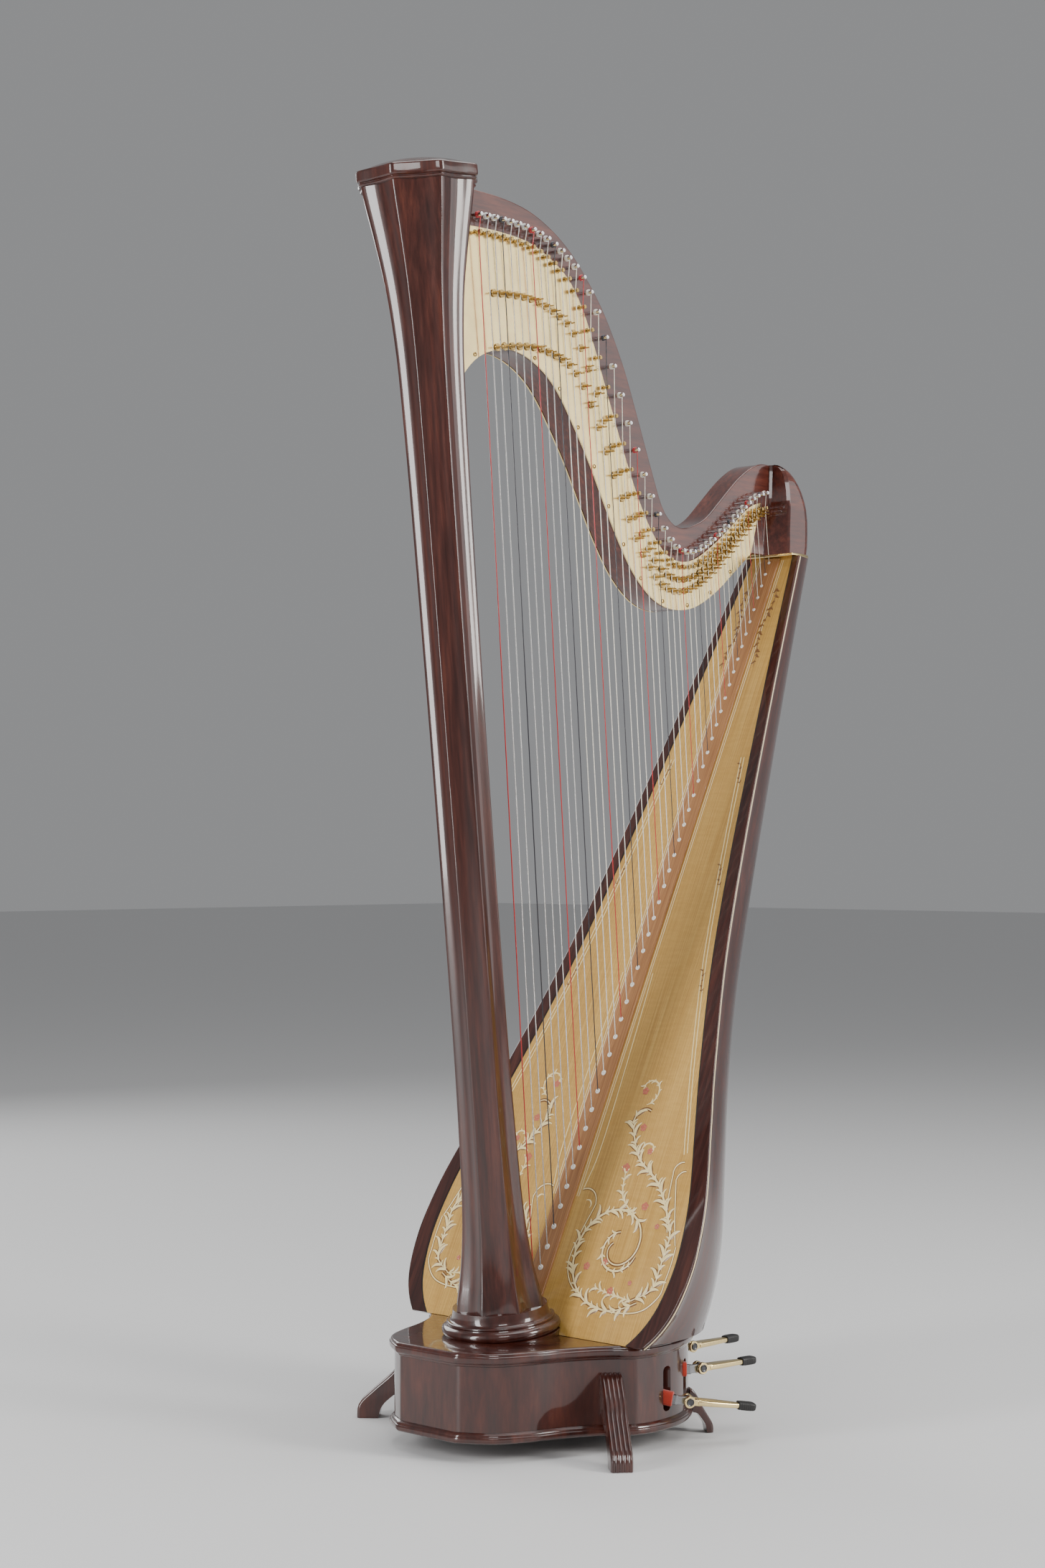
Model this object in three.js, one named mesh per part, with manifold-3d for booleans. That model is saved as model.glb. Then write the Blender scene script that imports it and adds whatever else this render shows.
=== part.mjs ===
// Concert grand pedal harp, 47 strings. Millimetres, +Z up, floor at Z = 0.
// +X runs from the column towards the player, -Y is the side that carries the strings.
import * as THREE from "three";
import { mergeVertices } from "three/addons/utils/BufferGeometryUtils.js";
import Module from "manifold-3d";

const wasm = await Module();
wasm.setup();

const GAP = 0.35; // clearance between pieces that touch
const DEG = Math.PI / 180;
const CENTRE_SHIFT = -7.2; // brings the middle of the whole harp over the origin

// Column: a leaning, eight-fluted hollow post.
const COLUMN_FOOT = new THREE.Vector3(-222, 0, 168);
const COLUMN_LEAN = 5.97 * DEG;
const COLUMN_FLUTES = 8;
const COLUMN_BORE = 24;
const COLUMN_START = 12;
const COLUMN_END = 1667;
const CAP_HEIGHT = 36;
const COLLAR_RADIUS = 88;
const ROD_RADIUS = 2.6;
const ROD_CIRCLE = 14;

// Soundbox frame: its origin lies on the string line, Z runs up the board, +X goes into the box.
const BOARD_ORIGIN = new THREE.Vector3(-152, 0, 212.75);
const BOARD_SLOPE = 26.67 * DEG;
const STRIP_THICK = 3.5;
const STRIP_HALF_WIDTH = 19;
const BOARD_THICK = 6;
const SHELL_THICK = 6;

// Strings.
const STRING_COUNT = 47;
const STRING_PITCH_BASS = 33.03;
const STRING_PITCH_DROP = 0.1196;
const STRING_LEAN_BASS = 5.6 * DEG;
const STRING_LEAN_TREBLE = 9 * DEG;
const STRING_PLANE = -34;

// Neck frame: turned a little about Z so that the treble strings hang straight over the board.
const NECK_PIVOT_X = -330;
const NECK_TURN = 2.4 * DEG;
const NECK_FACE = -21.5;
const NECK_BACK = 24.5;
const PLATE_THICK = 2.5;
const NUT_INSET = 9;
const PIN_OFFSET = 15;
const PIN_RADIUS = 3.1;

// Action: one octave of discs, C4 to B4, with its tuning pins.
const OCTAVE_FIRST = 21;
const OCTAVE_NAMES = ["c", "d", "e", "f", "g", "a", "b"];
const DISC_RADIUS = 6;
const DISC_PRONG_REACH = 4.1;
const DISC_TURN = 45 * DEG;
const SEMITONE = 1 - Math.pow(2, -1 / 12);
const WHOLE_TONE = 1 - Math.pow(2, -2 / 12);

// Base.
const BASE_TOP = 155;
const BASE_FLOOR_TOP = 42;
const BASE_FLOOR_BOTTOM = 27;
const BASE_TOP_THICK = 20;
const BASE_WALL = 14;
const SHOULDER_BOTTOM = 1354;

// Pedals: levers fan out from the column's foot; the plan angles are from +X towards +Y.
const PEDAL_CENTRE_X = -215;
const PEDAL_PIVOT_RADIUS = 72;
const PEDAL_HEIGHT = 101;
const PEDAL_DROP = 35;
const PEDALS = [
  { name: "d", lever: -60, arm: -28, wall: 243, down: true },
  { name: "c", lever: -46, arm: -10, wall: 257, down: false },
  { name: "b", lever: -14, arm: -3, wall: 305, down: false },
  { name: "e", lever: 13, arm: 3, wall: 305, down: false },
  { name: "f", lever: 29, arm: 6, wall: 287, down: false },
  { name: "g", lever: 46, arm: 12, wall: 257, down: false },
  { name: "a", lever: 60, arm: 28, wall: 243, down: false },
];
const ELBOW_REACH = 16;
const EYE_REACH = 20;
const HUB_RADIUS = 9;
const ARM_LENGTH = 106;

const WOOD = { color: 0x3a120c, roughness: 0.18, metalness: 0 };
const SPRUCE = { color: 0xd9a443, roughness: 0.35, metalness: 0 };
const BRASS = { color: 0xd8b25a, roughness: 0.25, metalness: 1 };
const STEEL = { color: 0xb9bcc0, roughness: 0.25, metalness: 1 };
const MAPLE = { color: 0x9a6a3a, roughness: 0.5, metalness: 0 };
const GUT = { color: 0xe6dfcf, roughness: 0.4, metalness: 0 };

function makeMesh(name, geometry, look) {
  const mesh = new THREE.Mesh(geometry, new THREE.MeshStandardMaterial(look));
  mesh.name = name;
  return mesh;
}

// Manifold solid of a closed three.js geometry.
function toSolid(geometry) {
  let bare = geometry.clone();
  bare.deleteAttribute("normal");
  bare.deleteAttribute("uv");
  bare = mergeVertices(bare, 1e-4);
  const vertProperties = new Float32Array(bare.attributes.position.array);
  const triVerts = new Uint32Array(bare.index.array);
  return new wasm.Manifold(new wasm.Mesh({ numProp: 3, vertProperties, triVerts }));
}

function toGeometry(solid) {
  const data = solid.getMesh();
  const geometry = new THREE.BufferGeometry();
  geometry.setAttribute("position", new THREE.BufferAttribute(new Float32Array(data.vertProperties), 3));
  geometry.setIndex(new THREE.BufferAttribute(new Uint32Array(data.triVerts), 1));
  geometry.computeVertexNormals();
  return geometry;
}

function unite(...geometries) {
  return toGeometry(geometries.map(toSolid).reduce((whole, piece) => whole.add(piece)));
}

function cut(geometry, ...cutters) {
  return toGeometry(cutters.map(toSolid).reduce((whole, piece) => whole.subtract(piece), toSolid(geometry)));
}

// Box given by its two opposite corners.
function boxBetween(low, high) {
  const size = high.map((value, axis) => value - low[axis]);
  const middle = high.map((value, axis) => (value + low[axis]) / 2);
  return new THREE.BoxGeometry(...size).translate(...middle);
}

// Points of a smooth curve through a few [a, b] pairs.
function smooth(points, count) {
  const curve = new THREE.SplineCurve(points.map(([a, b]) => new THREE.Vector2(a, b)));
  return curve.getSpacedPoints(count);
}

// Prism over an outline given in X and Z, from depth yLow to yHigh.
function prismXZ(outline, yLow, yHigh) {
  const flat = new THREE.Shape(outline.map((point) => new THREE.Vector2(point.x, point.y)));
  const geometry = new THREE.ExtrudeGeometry(flat, { depth: yHigh - yLow, bevelEnabled: false });
  return geometry.rotateX(Math.PI / 2).translate(0, yHigh, 0);
}

// Closed surface through rings of equal length, with a flat fan on the first and last ring.
function loft(rings) {
  const count = rings[0].length;
  const positions = rings.flat().flatMap((point) => [point.x, point.y, point.z]);
  const index = [];
  for (let ring = 0; ring + 1 < rings.length; ring += 1) {
    for (let item = 0; item < count; item += 1) {
      const a = ring * count + item;
      const b = ring * count + ((item + 1) % count);
      index.push(a, b, b + count, a, b + count, a + count);
    }
  }
  const last = (rings.length - 1) * count;
  const flat = (ring) => ring.map((point) => new THREE.Vector2(point.u, point.v));
  for (const [a, b, c] of THREE.ShapeUtils.triangulateShape(flat(rings[0]), [])) index.push(a, c, b);
  for (const [a, b, c] of THREE.ShapeUtils.triangulateShape(flat(rings[rings.length - 1]), [])) {
    index.push(last + a, last + b, last + c);
  }
  const geometry = new THREE.BufferGeometry();
  geometry.setAttribute("position", new THREE.Float32BufferAttribute(positions, 3));
  geometry.setIndex(index);
  return geometry;
}

// ---- Column ----------------------------------------------------------------

const COLUMN_PROFILE = [
  [0, 71], [30, 69], [80, 59], [140, 51.5], [220, 47], [425, 43.5], [810, 44], [1200, 47.5],
  [1375, 51], [1440, 54], [1517, 61.5], [1595, 75], [1650, 86], [1700, 93],
];

function columnRadius(height) {
  const next = Math.max(1, COLUMN_PROFILE.findIndex(([level]) => level >= height));
  const [h0, r0] = COLUMN_PROFILE[next - 1];
  const [h1, r1] = COLUMN_PROFILE[next];
  return r0 + ((r1 - r0) * (height - h0)) / (h1 - h0);
}

// One ring of eight hollow flutes; depth is the hollow's share of the radius.
function flutedRing(height, radius, depth, grow = 0) {
  const perFlute = 5;
  const ring = [];
  for (let item = 0; item < COLUMN_FLUTES * perFlute; item += 1) {
    const share = (item % perFlute) / perFlute;
    const hollow = Math.sin(Math.PI * share);
    const angle = ((item / perFlute - 0.5) / COLUMN_FLUTES) * 2 * Math.PI;
    const reach = radius * (1 - depth * hollow) + grow;
    const u = reach * Math.cos(angle);
    const v = reach * Math.sin(angle);
    ring.push({ x: u, y: v, z: height, u, v });
  }
  return ring;
}

function columnRings(grow) {
  const levels = [COLUMN_START, 30, 55, 80, 110, 140, 180, 220, 425, 810, 1200, 1375, 1440, 1478, 1517,
    1556, 1595, 1630, COLUMN_END];
  return levels.map((height) => flutedRing(height, columnRadius(height), 0.15, grow));
}

function columnGeometry() {
  const bore = new THREE.CylinderGeometry(COLUMN_BORE, COLUMN_BORE, COLUMN_END * 3, 16);
  return cut(loft(columnRings(0)), bore.rotateX(Math.PI / 2));
}

function capGeometry() {
  const rings = [[0, 90, 0.1], [3, 94, 0.1], [18, 94, 0.1], [21, 90, 0.08], [25, 74, 0.03], [31, 52, 0], [CAP_HEIGHT, 16, 0]];
  const foot = COLUMN_END + GAP;
  return loft(rings.map(([height, radius, depth]) => flutedRing(foot + height, radius, depth)));
}

// Round moulded ring under the column, trimmed level with the base's top.
function collarGeometry() {
  const profile = [];
  profile.push([COLUMN_BORE, -26], [84, -26], [84, -9]);
  for (let step = 0; step <= 6; step += 1) {
    const angle = (-70 + step * 25) * DEG;
    profile.push([COLLAR_RADIUS - 8 + 8 * Math.cos(angle), 8 * Math.sin(angle)]);
  }
  profile.push([76, COLUMN_START - GAP], [COLUMN_BORE, COLUMN_START - GAP], [COLUMN_BORE, -26]);
  const points = profile.map(([radius, height]) => new THREE.Vector2(radius, height));
  const ring = new THREE.LatheGeometry(points, 32).rotateX(Math.PI / 2);
  const below = boxBetween([-400, -400, -200], [400, 400, 0]);
  return cut(ring, worldTo(columnGroup, below.translate(-200, 0, BASE_TOP + GAP)));
}

// Brings a geometry given in the object's frame into a group's own frame.
function worldTo(group, geometry) {
  group.updateMatrix();
  return geometry.applyMatrix4(group.matrix.clone().invert());
}

const columnGroup = new THREE.Group();
columnGroup.position.copy(COLUMN_FOOT);
columnGroup.rotation.y = -COLUMN_LEAN;

function addColumn() {
  columnGroup.add(makeMesh("column", columnGeometry(), WOOD));
  columnGroup.add(makeMesh("column_cap", capGeometry(), WOOD));
  columnGroup.add(makeMesh("column_collar", collarGeometry(), WOOD));
  PEDALS.forEach((pedal, item) => {
    const angle = (item / PEDALS.length) * 2 * Math.PI;
    const rod = new THREE.CylinderGeometry(ROD_RADIUS, ROD_RADIUS, 1600, 10).rotateX(Math.PI / 2);
    const mesh = makeMesh(`pedal_rod_${pedal.name}`, rod, STEEL);
    mesh.position.set(ROD_CIRCLE * Math.cos(angle), ROD_CIRCLE * Math.sin(angle), 820);
    columnGroup.add(mesh);
  });
}

// ---- Soundbox --------------------------------------------------------------

const boardGroup = new THREE.Group();
boardGroup.position.copy(BOARD_ORIGIN);
boardGroup.rotation.y = BOARD_SLOPE;

// Half width of the soundboard along its length, bottom first.
const BOARD_WIDTHS = [
  [-110, 180], [-75, 224], [-40, 255], [0, 273], [60, 281], [116, 277], [174, 266], [270, 238],
  [366, 210], [534, 168], [709, 136], [913, 105], [1100, 79], [1330, 50],
];
// Depth of the shell behind the board.
const SHELL_DEPTHS = [[-120, 262], [100, 244], [229, 215], [470, 163], [889, 112], [1239, 68], [1345, 56]];

function interpolate(table, at) {
  const next = Math.max(1, table.findIndex(([level]) => level >= at));
  const [t0, v0] = table[next - 1];
  const [t1, v1] = table[next];
  return v0 + ((v1 - v0) * (at - t0)) / (t1 - t0);
}

// Everything below the base's top and above the shoulder's underside, as cutters in the board's frame.
function boardEnds() {
  const below = boxBetween([-900, -900, -900], [900, 900, BASE_TOP + GAP]);
  const above = boxBetween([-900, -900, SHOULDER_BOTTOM - GAP], [900, 900, 2400]);
  return [worldTo(boardGroup, below), worldTo(boardGroup, above)];
}

// The room that the collar and the column's foot take at the bottom of the board.
function columnRoom() {
  const radius = COLLAR_RADIUS + 1;
  const room = new THREE.CylinderGeometry(radius, radius, 60, 32).rotateX(Math.PI / 2);
  const foot = new THREE.CylinderGeometry(73, 73, 400, 32).rotateX(Math.PI / 2);
  columnGroup.updateMatrix();
  const both = [room.translate(0, 0, -16), foot].map((item) => item.applyMatrix4(columnGroup.matrix));
  return both.map((item) => worldTo(boardGroup, item));
}

function soundboardGeometry() {
  const right = smooth(BOARD_WIDTHS, 44);
  const outline = right.map((point) => new THREE.Vector2(point.y, point.x));
  const mirrored = outline.map((point) => new THREE.Vector2(-point.x, point.y)).reverse();
  const shape = new THREE.Shape([...outline, ...mirrored]);
  const plate = new THREE.ExtrudeGeometry(shape, { depth: BOARD_THICK, bevelEnabled: false });
  // Shape X is the board's Y and shape Y runs up the board.
  const turn = new THREE.Matrix4().set(0, 0, 1, 0, 1, 0, 0, 0, 0, 1, 0, 0, 0, 0, 0, 1);
  plate.applyMatrix4(turn).translate(STRIP_THICK + GAP, 0, 0);
  return cut(plate, ...boardEnds(), ...columnRoom());
}

// Cross-section of the shell at one level: outer arc, then the inner arc back.
function shellRing(level) {
  const steps = 14;
  const start = STRIP_THICK + BOARD_THICK + 2 * GAP;
  const ring = [];
  const arc = (inset, forward) => {
    const width = interpolate(BOARD_WIDTHS, level) - 4 - inset;
    const depth = interpolate(SHELL_DEPTHS, level) - inset;
    for (let step = 0; step <= steps; step += 1) {
      const angle = ((forward ? step : steps - step) / steps) * Math.PI;
      const back = depth * Math.sin(angle);
      const flare = 0.92 + 0.08 * Math.exp(-back / 16);
      const x = start + back;
      const y = -width * flare * Math.cos(angle);
      ring.push({ x, y, z: level, u: x, v: y });
    }
  };
  arc(0, true);
  arc(SHELL_THICK, false);
  return ring;
}

function shellGeometry() {
  const levels = [-109, -75, -40, 0, 60, 120, 200, 290, 366, 450, 534, 709, 913, 1100, 1240, 1329];
  const holes = [250, 440, 640, 850].map((level, item) => {
    const hole = new THREE.CylinderGeometry(38 - item * 6, 38 - item * 6, 200, 20).rotateZ(Math.PI / 2);
    return hole.scale(1, 1, 1.7).translate(interpolate(SHELL_DEPTHS, level), 0, level);
  });
  return cut(loft(levels.map(shellRing)), ...boardEnds(), ...holes);
}

function innerRibGeometry() {
  const start = STRIP_THICK + BOARD_THICK + 2 * GAP;
  return boxBetween([start, -14, 20], [start + 12, 14, 1262]);
}

function addSoundbox() {
  boardGroup.add(makeMesh("soundboard", soundboardGeometry(), SPRUCE));
  boardGroup.add(makeMesh("soundbox_shell", shellGeometry(), WOOD));
  boardGroup.add(makeMesh("inner_string_rib", innerRibGeometry(), MAPLE));
}

// ---- Neck ------------------------------------------------------------------

const neckGroup = new THREE.Group();
neckGroup.position.set(NECK_PIVOT_X, 0, 0);
neckGroup.rotation.z = NECK_TURN;

const NECK_TOP = [
  [-380, 1836], [-300, 1835], [-240, 1834], [-181, 1826], [-130, 1808], [-85, 1782], [-45, 1747],
  [0, 1696], [46, 1622], [84, 1540], [115, 1470], [142, 1414], [168, 1389], [195, 1383], [224, 1390],
  [258, 1406], [299, 1440], [342, 1476], [378, 1499], [406, 1509], [431, 1510],
];
const PLATE_TOP = [
  [-345, 1775], [-313, 1779], [-246, 1781], [-185, 1777], [-134, 1761], [-92, 1737], [-60, 1700],
  [-33, 1650], [-10, 1600], [11, 1554], [31, 1511], [53, 1466], [80, 1416], [112, 1370], [147, 1338],
  [184, 1328], [227, 1337], [285, 1371], [331, 1405], [372, 1434], [402, 1444],
];
const PLATE_BOTTOM = [
  [-345, 1535], [-321, 1565], [-299, 1585], [-272, 1599], [-240, 1608], [-208, 1608], [-174, 1599],
  [-140, 1581], [-109, 1553], [-77, 1512], [-43, 1464], [-10, 1410], [25, 1354], [64, 1303], [105, 1269],
  [143, 1253], [184, 1250], [227, 1259], [279, 1286], [331, 1324], [375, 1357],
];

// The drawn outlines are in the object's X; the neck's frame starts at its pivot.
function neckOutline(points, count) {
  return smooth(points.map(([x, z]) => [x - NECK_PIVOT_X, z]), count);
}

// The column and its cap with a little clearance, as a cutter in the neck's frame.
function columnCutter() {
  const cap = [COLUMN_END + 0.1, COLUMN_END + 80].map((height) => flutedRing(height, 95, 0));
  columnGroup.updateMatrix();
  return worldTo(neckGroup, loft([...columnRings(0.5), ...cap]).applyMatrix4(columnGroup.matrix));
}

function discPlace(string, share) {
  const { nut, anchor } = stringRoute(string);
  return nut.clone().lerp(anchor, share);
}

// Where each disc of the octave stands, in the neck's frame.
function octaveDiscs() {
  return OCTAVE_NAMES.flatMap((name, item) => [
    { name: `natural_disc_${name}`, note: name, place: discPlace(OCTAVE_FIRST + item, SEMITONE) },
    { name: `sharp_disc_${name}`, note: name, place: discPlace(OCTAVE_FIRST + item, WHOLE_TONE) },
  ]);
}

function boreAcross(place, radius, yLow, yHigh) {
  const bore = new THREE.CylinderGeometry(radius, radius, yHigh - yLow, 10);
  return bore.translate(place.x, (yHigh + yLow) / 2, place.z);
}

function neckGeometry() {
  const top = neckOutline(NECK_TOP, 58);
  const bottom = neckOutline(PLATE_BOTTOM, 48).reverse();
  const corner = new THREE.Vector2(431 - NECK_PIVOT_X, 1357);
  const body = prismXZ([...top, corner, ...bottom], NECK_FACE, NECK_BACK);
  const discs = octaveDiscs().map(({ place }) => boreAcross(place, 2.5, NECK_FACE - 1, NECK_FACE + 17));
  const pins = OCTAVE_NAMES.map((name, item) => {
    const { pin } = stringRoute(OCTAVE_FIRST + item);
    return boreAcross(pin, PIN_RADIUS + GAP, NECK_FACE - 1, NECK_BACK + 1);
  });
  return cut(body, columnCutter(), ...discs, ...pins);
}

function plateGeometry(yLow, bores) {
  const top = neckOutline(PLATE_TOP, 44);
  const bottom = neckOutline(PLATE_BOTTOM, 44).reverse();
  const plate = prismXZ([...top, ...bottom], yLow, yLow + PLATE_THICK);
  const holes = bores.map(({ place }) => boreAcross(place, 2.5, yLow - 1, yLow + PLATE_THICK + 1));
  return cut(plate, columnCutter(), ...holes);
}

function shoulderGeometry() {
  const outline = [
    [433, 1509], [452, 1503], [472, 1486], [486, 1462], [495, 1432], [498, 1396], [497, SHOULDER_BOTTOM],
    [433, SHOULDER_BOTTOM],
  ];
  const side = new THREE.Shape(outline.map(([x, z]) => new THREE.Vector2(x, z)));
  const bevel = { bevelEnabled: true, bevelSize: 6, bevelThickness: 6, bevelOffset: -6, bevelSegments: 2 };
  const block = new THREE.ExtrudeGeometry(side, { depth: 76, ...bevel });
  return block.rotateX(Math.PI / 2).translate(0, 51, 0);
}

// A disc with its spindle and two prongs, spindle along Y, centred on the string plane's foot.
function discGeometry(turn) {
  const face = NECK_FACE - GAP - PLATE_THICK;
  const round = (radius, yLow, yHigh, sides) => {
    const piece = new THREE.CylinderGeometry(radius, radius, yHigh - yLow, sides);
    return piece.translate(0, (yHigh + yLow) / 2, 0);
  };
  const spindle = round(2, face - 1.5, NECK_FACE + 15, 8);
  const plate = round(DISC_RADIUS, face - 2.5, face - 0.6, 12);
  const prong = round(1, face - 14, face - 1.5, 6);
  const prongs = [-DISC_PRONG_REACH, DISC_PRONG_REACH].map((reach) => prong.clone().translate(reach, 0, 0));
  return unite(spindle, plate, ...prongs).rotateY(turn);
}

function tuningPinGeometry() {
  const profile = [[0, -43], [2.6, -43], [PIN_RADIUS, -41], [PIN_RADIUS, 33], [0, 33]];
  const points = profile.map(([radius, height]) => new THREE.Vector2(radius, height));
  const shaft = new THREE.LatheGeometry(points, 12);
  return unite(shaft, boxBetween([-2, 32, -2], [2, 44, 2]));
}

function addNeck() {
  const leftPlate = NECK_FACE - GAP - PLATE_THICK;
  neckGroup.add(makeMesh("neck", neckGeometry(), WOOD));
  neckGroup.add(makeMesh("left_action_plate", plateGeometry(leftPlate, octaveDiscs()), BRASS));
  neckGroup.add(makeMesh("right_action_plate", plateGeometry(NECK_BACK + GAP, []), BRASS));
  octaveDiscs().forEach(({ name, note, place }) => {
    const engaged = PEDALS.find((pedal) => pedal.name === note).down;
    const mesh = makeMesh(name, discGeometry(engaged ? DISC_TURN : 0), BRASS);
    mesh.position.set(place.x, 0, place.z);
    neckGroup.add(mesh);
  });
  OCTAVE_NAMES.forEach((name, item) => {
    const { pin } = stringRoute(OCTAVE_FIRST + item);
    const mesh = makeMesh(`tuning_pin_${name}`, tuningPinGeometry(), STEEL);
    mesh.position.set(pin.x, 0, pin.z);
    neckGroup.add(mesh);
  });
}

// ---- Strings ---------------------------------------------------------------

// Height at which a leaning line from the anchor meets a curve drawn in the neck's frame.
function meet(anchor, lean, curve) {
  const along = (point) => anchor.x - (point.y - anchor.z) * Math.tan(lean) - point.x;
  const ahead = curve.findIndex((point) => along(point) < 0);
  const [before, after] = [curve[ahead - 1], curve[ahead]];
  const share = along(before) / (along(before) - along(after));
  return before.clone().lerp(after, share);
}

// The plate's top edge moved square to itself, outwards when the distance is positive.
function movedEdge(distance) {
  const edge = neckOutline(PLATE_TOP, 120);
  return edge.map((point, item) => {
    const before = edge[Math.max(0, item - 1)];
    const after = edge[Math.min(edge.length - 1, item + 1)];
    const run = after.clone().sub(before).normalize();
    return new THREE.Vector2(point.x - run.y * distance, point.y + run.x * distance);
  });
}

const NUT_CURVE = movedEdge(-NUT_INSET);
const PIN_CURVE = movedEdge(PIN_OFFSET);

// Anchor, bridge nut and tuning pin of one string, all in the neck's frame (string 0 is the lowest).
function stringRoute(string) {
  const share = string / (STRING_COUNT - 1);
  const along = string * (STRING_PITCH_BASS - STRING_PITCH_DROP * string);
  boardGroup.updateMatrix();
  neckGroup.updateMatrix();
  const anchor = new THREE.Vector3(0, 0, along).applyMatrix4(boardGroup.matrix);
  anchor.applyMatrix4(neckGroup.matrix.clone().invert());
  const lean = STRING_LEAN_BASS + (STRING_LEAN_TREBLE - STRING_LEAN_BASS) * share * share;
  const nut = meet(anchor, lean, NUT_CURVE);
  const pin = meet(anchor, lean, PIN_CURVE);
  return {
    anchor,
    nut: new THREE.Vector3(nut.x, STRING_PLANE, nut.y),
    pin: new THREE.Vector3(pin.x, STRING_PLANE, pin.y),
  };
}

function stringRadius(string) {
  return 0.9 - 0.55 * (string / (STRING_COUNT - 1));
}

// Level cross-section of a string.
function stringRing(centre, radius) {
  const sides = 5;
  return Array.from({ length: sides }, (unused, side) => {
    const angle = (side / sides) * 2 * Math.PI;
    const u = centre.x + radius * Math.cos(angle);
    const v = centre.y + radius * Math.sin(angle);
    return { x: u, y: v, z: centre.z, u, v };
  });
}

// The 47 strings and the strip that anchors them, in the neck's frame.
function stringsGeometry() {
  const strip = boxBetween([0, -STRIP_HALF_WIDTH, -16], [STRIP_THICK, STRIP_HALF_WIDTH, 1276]);
  boardGroup.updateMatrix();
  const stripTrimmed = cut(strip, ...boardEnds(), ...columnRoom());
  stripTrimmed.applyMatrix4(boardGroup.matrix);
  const pieces = [worldTo(neckGroup, stripTrimmed)];
  for (let string = 0; string < STRING_COUNT; string += 1) {
    const { anchor, nut, pin } = stringRoute(string);
    const into = anchor.clone().sub(nut).normalize().multiplyScalar(1.6).add(anchor);
    const end = pin.clone().add(new THREE.Vector3(0, 0, -PIN_RADIUS - 2 * GAP));
    pieces.push(loft([into, nut, end].map((point) => stringRing(point, stringRadius(string)))));
  }
  return unite(...pieces);
}

// ---- Base ------------------------------------------------------------------

// Half of the base's plan, front to back.
const NOSE = [[-373, 55], [-342, 102], [-300, 126], [-245, 146], [-195, 173], [-160, 205]];
const FLANK = [[-160, 205], [-120, 213], [-60, 204], [-5, 176], [45, 130], [82, 70], [96, 0]];

function basePlan() {
  const nose = smooth(NOSE, 12);
  const flank = smooth(FLANK, 20).slice(1);
  const half = [...nose, ...flank];
  const mirrored = half.slice(0, -1).map((point) => new THREE.Vector2(point.x, -point.y)).reverse();
  return [...half, ...mirrored].reverse();
}

// An outline moved square to itself; a positive distance shrinks it.
function inset(outline, distance) {
  const count = outline.length;
  return outline.map((point, item) => {
    const before = point.clone().sub(outline[(item + count - 1) % count]).normalize();
    const after = outline[(item + 1) % count].clone().sub(point).normalize();
    const normal = new THREE.Vector2(-before.y - after.y, before.x + after.x).normalize();
    const stretch = distance / Math.max(0.6, normal.dot(new THREE.Vector2(-before.y, before.x)));
    return point.clone().addScaledVector(normal, stretch);
  });
}

// Flat board over the plan with a moulded edge, built as a loft of inset outlines.
function mouldedBoard(profile) {
  const plan = basePlan();
  return loft(profile.map(([height, distance]) => inset(plan, distance).map((point) => (
    { x: point.x, y: point.y, z: height, u: point.x, v: point.y }
  ))));
}

function baseTopGeometry() {
  const low = BASE_TOP - BASE_TOP_THICK;
  const profile = [[low, 0], [low + 3, -5], [low + 8, -8], [low + 14, -8], [low + 17, -6], [BASE_TOP, -3]];
  const bore = new THREE.CylinderGeometry(COLUMN_BORE + 4, COLUMN_BORE + 4, 60, 20).rotateX(Math.PI / 2);
  return cut(mouldedBoard(profile), bore.translate(PEDAL_CENTRE_X - 5, 0, BASE_TOP));
}

function slotGeometry(pedal) {
  const low = PEDAL_HEIGHT - PEDAL_DROP - 14;
  const slot = boxBetween([pedal.wall - 70, -9, low], [pedal.wall + 50, 9, PEDAL_HEIGHT + 16]);
  return slot.rotateZ(pedal.lever * DEG).translate(PEDAL_CENTRE_X, 0, 0);
}

function baseBodyGeometry() {
  const low = BASE_FLOOR_TOP + GAP;
  const high = BASE_TOP - BASE_TOP_THICK - GAP;
  const outer = mouldedBoard([[low, 0], [high, 0]]);
  const inner = mouldedBoard([[low - 5, BASE_WALL], [high + 5, BASE_WALL]]);
  return cut(outer, inner, ...PEDALS.map(slotGeometry));
}

// Point on a pedal's lever line at a distance from the column's centre.
function leverPoint(pedal, distance, height = PEDAL_HEIGHT) {
  const angle = pedal.lever * DEG;
  const x = PEDAL_CENTRE_X + distance * Math.cos(angle);
  return new THREE.Vector3(x, distance * Math.sin(angle), height);
}

// The floor board carries a pair of lugs for each pedal's pivot.
function baseFloorGeometry() {
  const low = BASE_FLOOR_BOTTOM;
  const profile = [[low, -3], [low + 3, -7], [low + 9, -7], [low + 12, -4], [BASE_FLOOR_TOP, 0]];
  const lugs = PEDALS.flatMap((pedal) => [-1, 1].map((side) => {
    const near = PEDAL_PIVOT_RADIUS;
    const lug = boxBetween([near - 8, 4.6, BASE_FLOOR_TOP - 2], [near + 8, 6.6, PEDAL_HEIGHT + 8]);
    if (side < 0) lug.translate(0, -11.2, 0);
    return lug.rotateZ(pedal.lever * DEG).translate(PEDAL_CENTRE_X, 0, 0);
  }));
  return unite(mouldedBoard(profile), ...lugs);
}

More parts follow.
